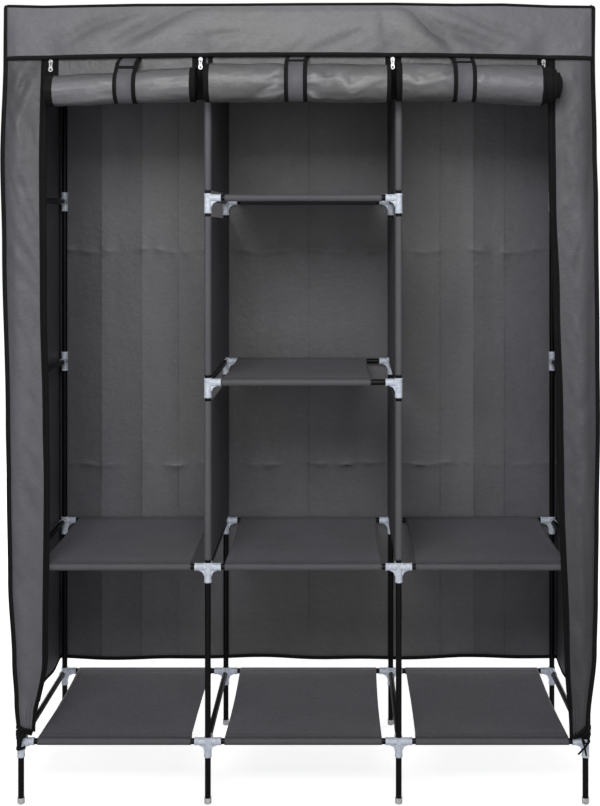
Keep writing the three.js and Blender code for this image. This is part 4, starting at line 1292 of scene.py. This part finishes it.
def door_roll(bay):
    node = f"door_roll_{bay}"
    start, end = roll_ends(bay)
    length = end - start
    bands = [ROLLS[bay]["bands"][0] / length, 1 - ROLLS[bay]["bands"][1] / length]
    shares = np.concatenate([np.linspace(0, bands[0], 6)[:-1],
                             np.linspace(bands[0], bands[1], 122),
                             np.linspace(bands[1], 1, 6)[1:]])
    rows, turns, tone = roll_rows(bay, start + length * shares)
    for sign, near, overrun in zip((-1.0, 1.0), (shares, 1 - shares), ROLLS[bay]["overruns"]):
        pull = np.clip(1 - near * length / 120.0, 0, 1) ** 2
        rows[..., 0] += sign * pull[:, None] * overruns(turns, overrun)[None, :]
    slots = np.zeros((rows.shape[0] - 1, rows.shape[1] - 1), int)
    middles = (shares[1:] + shares[:-1]) / 2
    slots[(middles < bands[0]) | (middles > bands[1])] = 1
    slots[(middles > 1 - 24.0 / length)[:, None] & (turns[1:] > 0.97)[None, :]] = 1
    piece = Shape().grid(rows, slot=slots, tone=tone).piece(
        f"{node}_cloth", "cover_cloth", DOOR_CLOTH, BINDING_TAPE, node=node, thickness=0.9,
        sharp=60,
    )
    tail = int(np.sum(turns == 0))
    stretches = (slice(tail, tail + OUTER_STEPS, 2), slice(tail + OUTER_STEPS, None))
    edges = [(row[stretch], (way, 0.0, 0.0), 5.0, 2.0)
             for row, way in ((rows[0], 1.0), (rows[-1], -1.0)) for stretch in stretches]
    binding = bindings(node, *edges)


# The straps: how far each one's top stands aside, and how far its bar is below the hem.
STRAP_WIDTH = 49.0
STRAP_SLANTS = {"left": 5.0, "centre": 5.0, "right": -2.0}
BAR_DROPS = {"left": 26.0, "centre": 16.0, "right": 17.0}


def strap_path(bay):
    """A strap's line, from the header down the front of its roll, round it and up behind."""
    x = place(f"roll_strap_{bay}", 0)
    radius, middle, height = roll_at(bay, x)
    hem = header_hem(x)
    reach = (radius - 1.0) * (1 - STRAP_BITE) + 1.6
    round_roll = [(middle + reach * math.cos(turn), height + OVAL * reach * math.sin(turn))
                  for turn in np.radians(np.linspace(112, 372, 44))]
    front = STILE_PLANE - 2.0
    line = [(STILE_PLANE - 1.4, hem + 9.0), (front, hem - 1.0)]
    line += [(front + (round_roll[0][0] - front) * share,
              hem - 1.0 + (round_roll[0][1] - hem + 1.0) * share**1.3) for share in (0.3, 0.6)]
    line += round_roll
    line += [(STRAP_REAR, height + 14.0), (STRAP_REAR, hem - 4.0), (STRAP_REAR, hem + 8.0)]
    return spaced([(x, y, z) for y, z in line], 3.0)


def roll_strap(bay):
    node = f"roll_strap_{bay}"
    path = strap_path(bay)
    half = STRAP_WIDTH / 2
    runs = directions_along(path)
    front = np.cross(runs, ACROSS)
    left = [(-half, 0.0), (-half + 0.8, 1.1), (-half + 9.0, 1.1), (-half + 9.6, 0.5)]
    upper = left + [(-a, b) for a, b in left[::-1]]
    section = upper + [(a, -b) for a, b in upper[::-1][1:-1]]
    path[:, 0] += STRAP_SLANTS[bay] * (1 - smooth(np.linspace(0, 1, len(path)) * 7))
    edges = [a for a, _ in section]
    bound = [abs(a + b) / 2 > half - 9.3 for a, b in zip(edges, edges[1:] + edges[:1])]
    slots = np.broadcast_to(np.array(bound, int), (len(path) - 1, len(section)))
    band = Shape().sweep(path, ACROSS, front, section, slot=slots, tone=1.04)
    piece = band.piece(f"{node}_band", "strap", STRAP_CLOTH, BINDING_TAPE, node=node, sharp=60)
    bar = Shape()
    at = int(np.argmin(np.abs(path[:24, 2] - (header_hem(path[0, 0]) - BAR_DROPS[bay]))))
    line = [path[at] + ACROSS * a + front[at] * 1.5 for a in np.linspace(1 - half, half - 1, 14)]
    bound_edge(bar, np.array(line) - runs[at] * 4.0, runs[at], 8.0, 2.2)
    cross = bar.piece(f"{node}_bar", "strap", BINDING_TAPE)


# The zips.

# How far a joined tape hangs below the hem, and its flat size in metres.
ZIP_TABS = {"outer": (36.0, (0.022, 0.044)), "inner": (94.0, (0.022, 0.104))}


def zip_tab(name):
    """The joined zip tape that hangs from the header behind a slider. Between two doors its halves
    part below the slider."""
    x = ZIPS[name]
    hem = header_hem(x)
    drop, flat = ZIP_TABS[name.split("_")[1]]
    zs = np.linspace(hem + 6.0, hem - drop, 30)
    rows = []
    for z in zs:
        parted = float(smooth((hem - 34.0 - z) / 50.0)) * 5.0
        rows.append([(x + a + math.copysign(parted, a) * (abs(a) > 0.1),
                      STILE_PLANE - 0.9 - 0.4 * math.cos(a / 4), z)
                     for a in np.linspace(-10.0, 10.0, 13)])
    tab = Shape().grid(rows)
    piece = tab.piece(f"zip_tape_{name}", "cover_cloth", ZIP_TAPE, thickness=0.7)
    coil = Shape().tube([(x, STILE_PLANE - 1.7, z) for z in zs], 1.5, 10)
    ridge = coil.piece(f"zip_coil_{name}", "cover_cloth", ZIP_TAPE)


def zip_slider(name):
    """A slider: two wings with the web between them, and the bridge that the pull hangs on."""
    node = f"zip_slider_{name}"
    low, high = node_box(node)
    x, _, z = (low + high) / 2
    half, tall = 4.5, 6.5
    outline = arc((0.0, tall - half), half, 0, 180, 12)
    outline += [(-half, 0.5), (-half * 0.78, -tall + 1.2), (-half * 0.55, -tall)]
    outline += [(half * 0.55, -tall), (half * 0.78, -tall + 1.2), (half, 0.5)]
    body = Shape()
    for depth in (0.65, 2.55):
        body.plate([outline], 1.3, 0.35, (x, high[1] - depth, z))
    web = arc((0.0, 1.5), 1.6, 0, 360, 12)[:-1]
    body.plate([web], 2.4, 0.2, (x, high[1] - 1.6, z))
    root, front, rise = high[1] - 3.1, low[1] + 0.6, 3.0
    upper = [(root + 0.2, rise + 1.6), ((root + front) / 2, rise + 0.9), (front, rise - 0.6)]
    path = [(x, y, z + up) for y, up in upper] + [(x, y, z - up) for y, up in upper[::-1]]
    line = spaced(path, 0.7)
    width = 1.2
    section = [(-width, -0.3), (-width * 0.8, 0.5), (width * 0.8, 0.5), (width, -0.3),
               (width * 0.8, -0.5), (-width * 0.8, -0.5)]
    body.sweep(line, ACROSS, np.cross(directions_along(line), ACROSS), section)
    body.piece(f"{node}_body", "zip", NICKEL, node=node, body=f"slider_{name}")


def zip_pull(name):
    """A pull: a waisted plate with a window for the bridge and an eye at its foot."""
    node = f"zip_pull_{name}"
    low, high = node_box(node)
    end, neck, slot_half = 4.9, 3.4, 1.9
    outline = [(neck - 0.8, 0.0), (-neck + 0.8, 0.0), (-neck, -0.8), (-neck, -9.6), (-end, -16.0)]
    outline += arc((0.0, -16.7), end, 188, 352, 14)
    outline += [(end, -16.0), (neck, -9.6), (neck, -0.8)]
    window = [(-slot_half, -1.4), (slot_half, -1.4), (slot_half, -8.4), (-slot_half, -8.4)]
    eye = arc((0.0, -16.7), 2.0, 0, 360, 14)[:-1]
    at = ((low[0] + high[0]) / 2, (low[1] + high[1]) / 2, high[2])
    pull = Shape()
    pull.plate([outline, window, eye], 1.2, 0.3, at)
    pull.piece(f"{node}_plate", "zip", NICKEL, node=node, body=f"pull_{name}")


# The ties that hold the stiles to the lower front connectors: the points of each length of
# tape from the connector's middle, and its width.
TIES = {
    "left": [
        ([(27, 2, 20), (14, -1, 25), (4, -2, 28), (-4, 2, 31)], 9.0),
        ([(16, 2, 27), (8, -2, 18), (2, -3, 8), (-1, 0, -6)], 9.0),
        ([(4, 2, 32), (1, -1, 22), (-2, -2, 8), (-2, 0, -12)], 8.0),
        ([(-5, 4, 12), (-3, -1, 2), (1, -1, -8), (6, 3, -14)], 6.0),
    ],
    "right": [
        ([(-28, 2, 11), (-14, -1, 17), (-2, -2, 25), (8, 1, 34)], 8.0),
        ([(4, 2, 30), (-5, -1, 24), (-9, -3, 8), (-5, -4, -6), (-1, -3, -26)], 4.0),
        ([(8, 1, 22), (3, -3, 6), (-2, -5, -4), (-9, -4, -12), (-19, -3, -23)], 4.5),
        ([(-8, -3, 9), (-4, -7, 3), (2, -8, 3), (5, -7, 9), (0, -4, 12)], 4.0),
    ],
}
# How far those tapes lie in front of the connector's middle.
TIE_DEPTH = 12.0
# The turns of tape round each corner's post: (height above the connector, radius, width).
TIE_RINGS = {"left": ((20.5, 10.8, 11.0), (12.0, 10.2, 8.0), (-13.0, 10.0, 6.0)),
             "right": ((20.5, 10.8, 10.0), (13.0, 10.2, 9.0))}


def tie_ring(shape, middle, radius, width):
    """A slanting turn of tape round a post. Gives the tape's area in square mm."""
    turns = np.linspace(0, 2 * math.pi, 40)
    out = np.array([(math.cos(t), math.sin(t), 0.0) for t in turns])
    path = [middle + np.array([radius * c, radius * s, 2.0 * c]) for c, s, _ in out]
    half = width / 2
    shape.sweep(path, UP, out, [(-half, 0.5), (half, 0.5), (half, -0.4), (-half, -0.4)])
    return 2 * math.pi * radius * width


def ribbon(shape, path, width):
    """A soft flat tape along a path, facing the front. Gives its area in square mm."""
    line = spaced(path, 2.0)
    runs = directions_along(line)
    sides = np.cross(runs, (0.0, -1.0, 0.0))
    sides /= np.linalg.norm(sides, axis=1, keepdims=True)
    half, deep = width / 2, 0.5
    section = [(-half, 0.0), (-half + 0.6, deep), (0.0, deep * 1.3), (half - 0.6, deep),
               (half, 0.0), (half - 0.6, -deep), (0.0, -deep * 0.7), (-half + 0.6, -deep)]
    shape.sweep(line, sides, np.cross(sides, runs), section)
    return 2.0 * (len(line) - 1) * width


def corner_ties():
    for side, (sign, _, _) in SIDES.items():
        middle = np.array([sign * abs(COLUMNS["left_outer"]), FRONT, LEVELS["base"]])
        tie = Shape()
        area = sum(tie_ring(tie, middle + UP * rise, radius, width)
                   for rise, radius, width in TIE_RINGS[side])
        front = middle + (0.0, -TIE_DEPTH, 0.0)
        area += sum(ribbon(tie, front + np.array(points), width) for points, width in TIES[side])
        piece = tie.piece(f"corner_tie_{side}", "cover_cloth", BINDING_TAPE, sharp=60)


# The studio. Its lengths are in metres.

WHITE = (1.0, 1.0, 1.0, 1.0)
FLOOR_REACH = 14.0
FLOOR_HEIGHT = -0.0005
# The larger side of the photograph, in pixels.
PHOTO_SIDE = 806


def studio():
    world = bpy.data.worlds.new("studio")
    bpy.context.scene.world = world
    world.use_nodes = True
    world.node_tree.nodes.clear()
    n = Nodes(world.node_tree)
    rays = n.add("LightPath").outputs
    seen = n.math("MAXIMUM", rays["Is Camera Ray"], rays["Is Glossy Ray"])
    seen = n.math("MAXIMUM", seen, rays["Is Transmission Ray"])
    ambient = n.add("Background", {"Color": (0.97, 0.98, 1.0, 1.0), "Strength": 0.11})
    white = n.add("Background", {"Color": WHITE, "Strength": 1.0})
    mixed = n.add("MixShader", {0: seen, 1: ambient.outputs[0], 2: white.outputs[0]})
    n.add("OutputWorld", {0: mixed.outputs[0]})

    n = Look("studio_floor")
    away = n.add("VectorMath", {0: n.object_places}, operation="LENGTH").outputs["Value"]
    seen = n.add("LightPath").outputs["Is Camera Ray"]
    glow = n.math("MULTIPLY", seen, n.range(away, 0.8, 2.2, 0.74, 0.98))
    colour = n.mix(n.noise(3.0), (0.86, 0.86, 0.86, 1.0), (0.88, 0.88, 0.88, 1.0))
    corners = [(x * FLOOR_REACH, y * FLOOR_REACH, FLOOR_HEIGHT)
               for x, y in ((-1, -1), (1, -1), (1, 1), (-1, 1))]
    mesh = bpy.data.meshes.new("studio_floor")
    mesh.from_pydata(corners, [], [(0, 1, 2, 3)])
    mesh.materials.append(n.finish(colour, 0.9, Emission_Color=WHITE, Emission_Strength=glow))
    obj = bpy.data.objects.new("studio_floor", mesh)
    bpy.context.scene.collection.objects.link(obj)

    lamp("key_softbox", (-0.25, -2.4, 2.3), (0.0, -0.1, 1.2), (1.5, 0.9), 35.0)
    lamp("fill_softbox", (0.3, -4.2, 1.3), (0.0, 0.0, 1.0), (2.6, 2.0), 20.0)
    for side, x in (("left", -3.2), ("right", 3.2)):
        lamp(f"back_softbox_{side}", (x, 2.6, 0.95), (0.0, 0.3, 0.9), (2.0, 1.3), 55.0)


def lamp(name, at, towards, size, power):
    light = bpy.data.lights.new(name, "AREA")
    light.shape = "RECTANGLE"
    light.size, light.size_y = size
    light.energy = power
    obj = bpy.data.objects.new(name, light)
    obj.location = at
    obj.rotation_euler = (Vector(towards) - Vector(at)).to_track_quat("-Z", "Y").to_euler()
    bpy.context.scene.collection.objects.link(obj)


def camera():
    """The photograph's camera, solved from the frame's tubes. The shifts are shares of the
    image's larger side."""
    data = bpy.data.cameras.new("camera")
    data.sensor_width = 36.0
    data.lens = 55.25
    data.shift_x = -40 / PHOTO_SIDE
    data.shift_y = -176 / PHOTO_SIDE
    data.clip_end = 100.0
    obj = bpy.data.objects.new("camera", data)
    obj.location = (0.0804, -2.8834, 1.262)
    obj.rotation_euler = (math.radians(90), 0.0, 0.0)
    bpy.context.scene.collection.objects.link(obj)
    bpy.context.scene.camera = obj


camera()
studio()
build_frame()
build_cloths()
cover_roof()
cover_header()
for side_name in SIDES:
    cover_side(side_name)
cover_back()
for bay_name in BAYS:
    roll_strap(bay_name)
    door_roll(bay_name)
for column_name in COLUMN_NAMES:
    zip_tab(column_name)
    zip_slider(column_name)
    zip_pull(column_name)
corner_ties()

bpy.context.scene.view_settings.view_transform = "Standard"
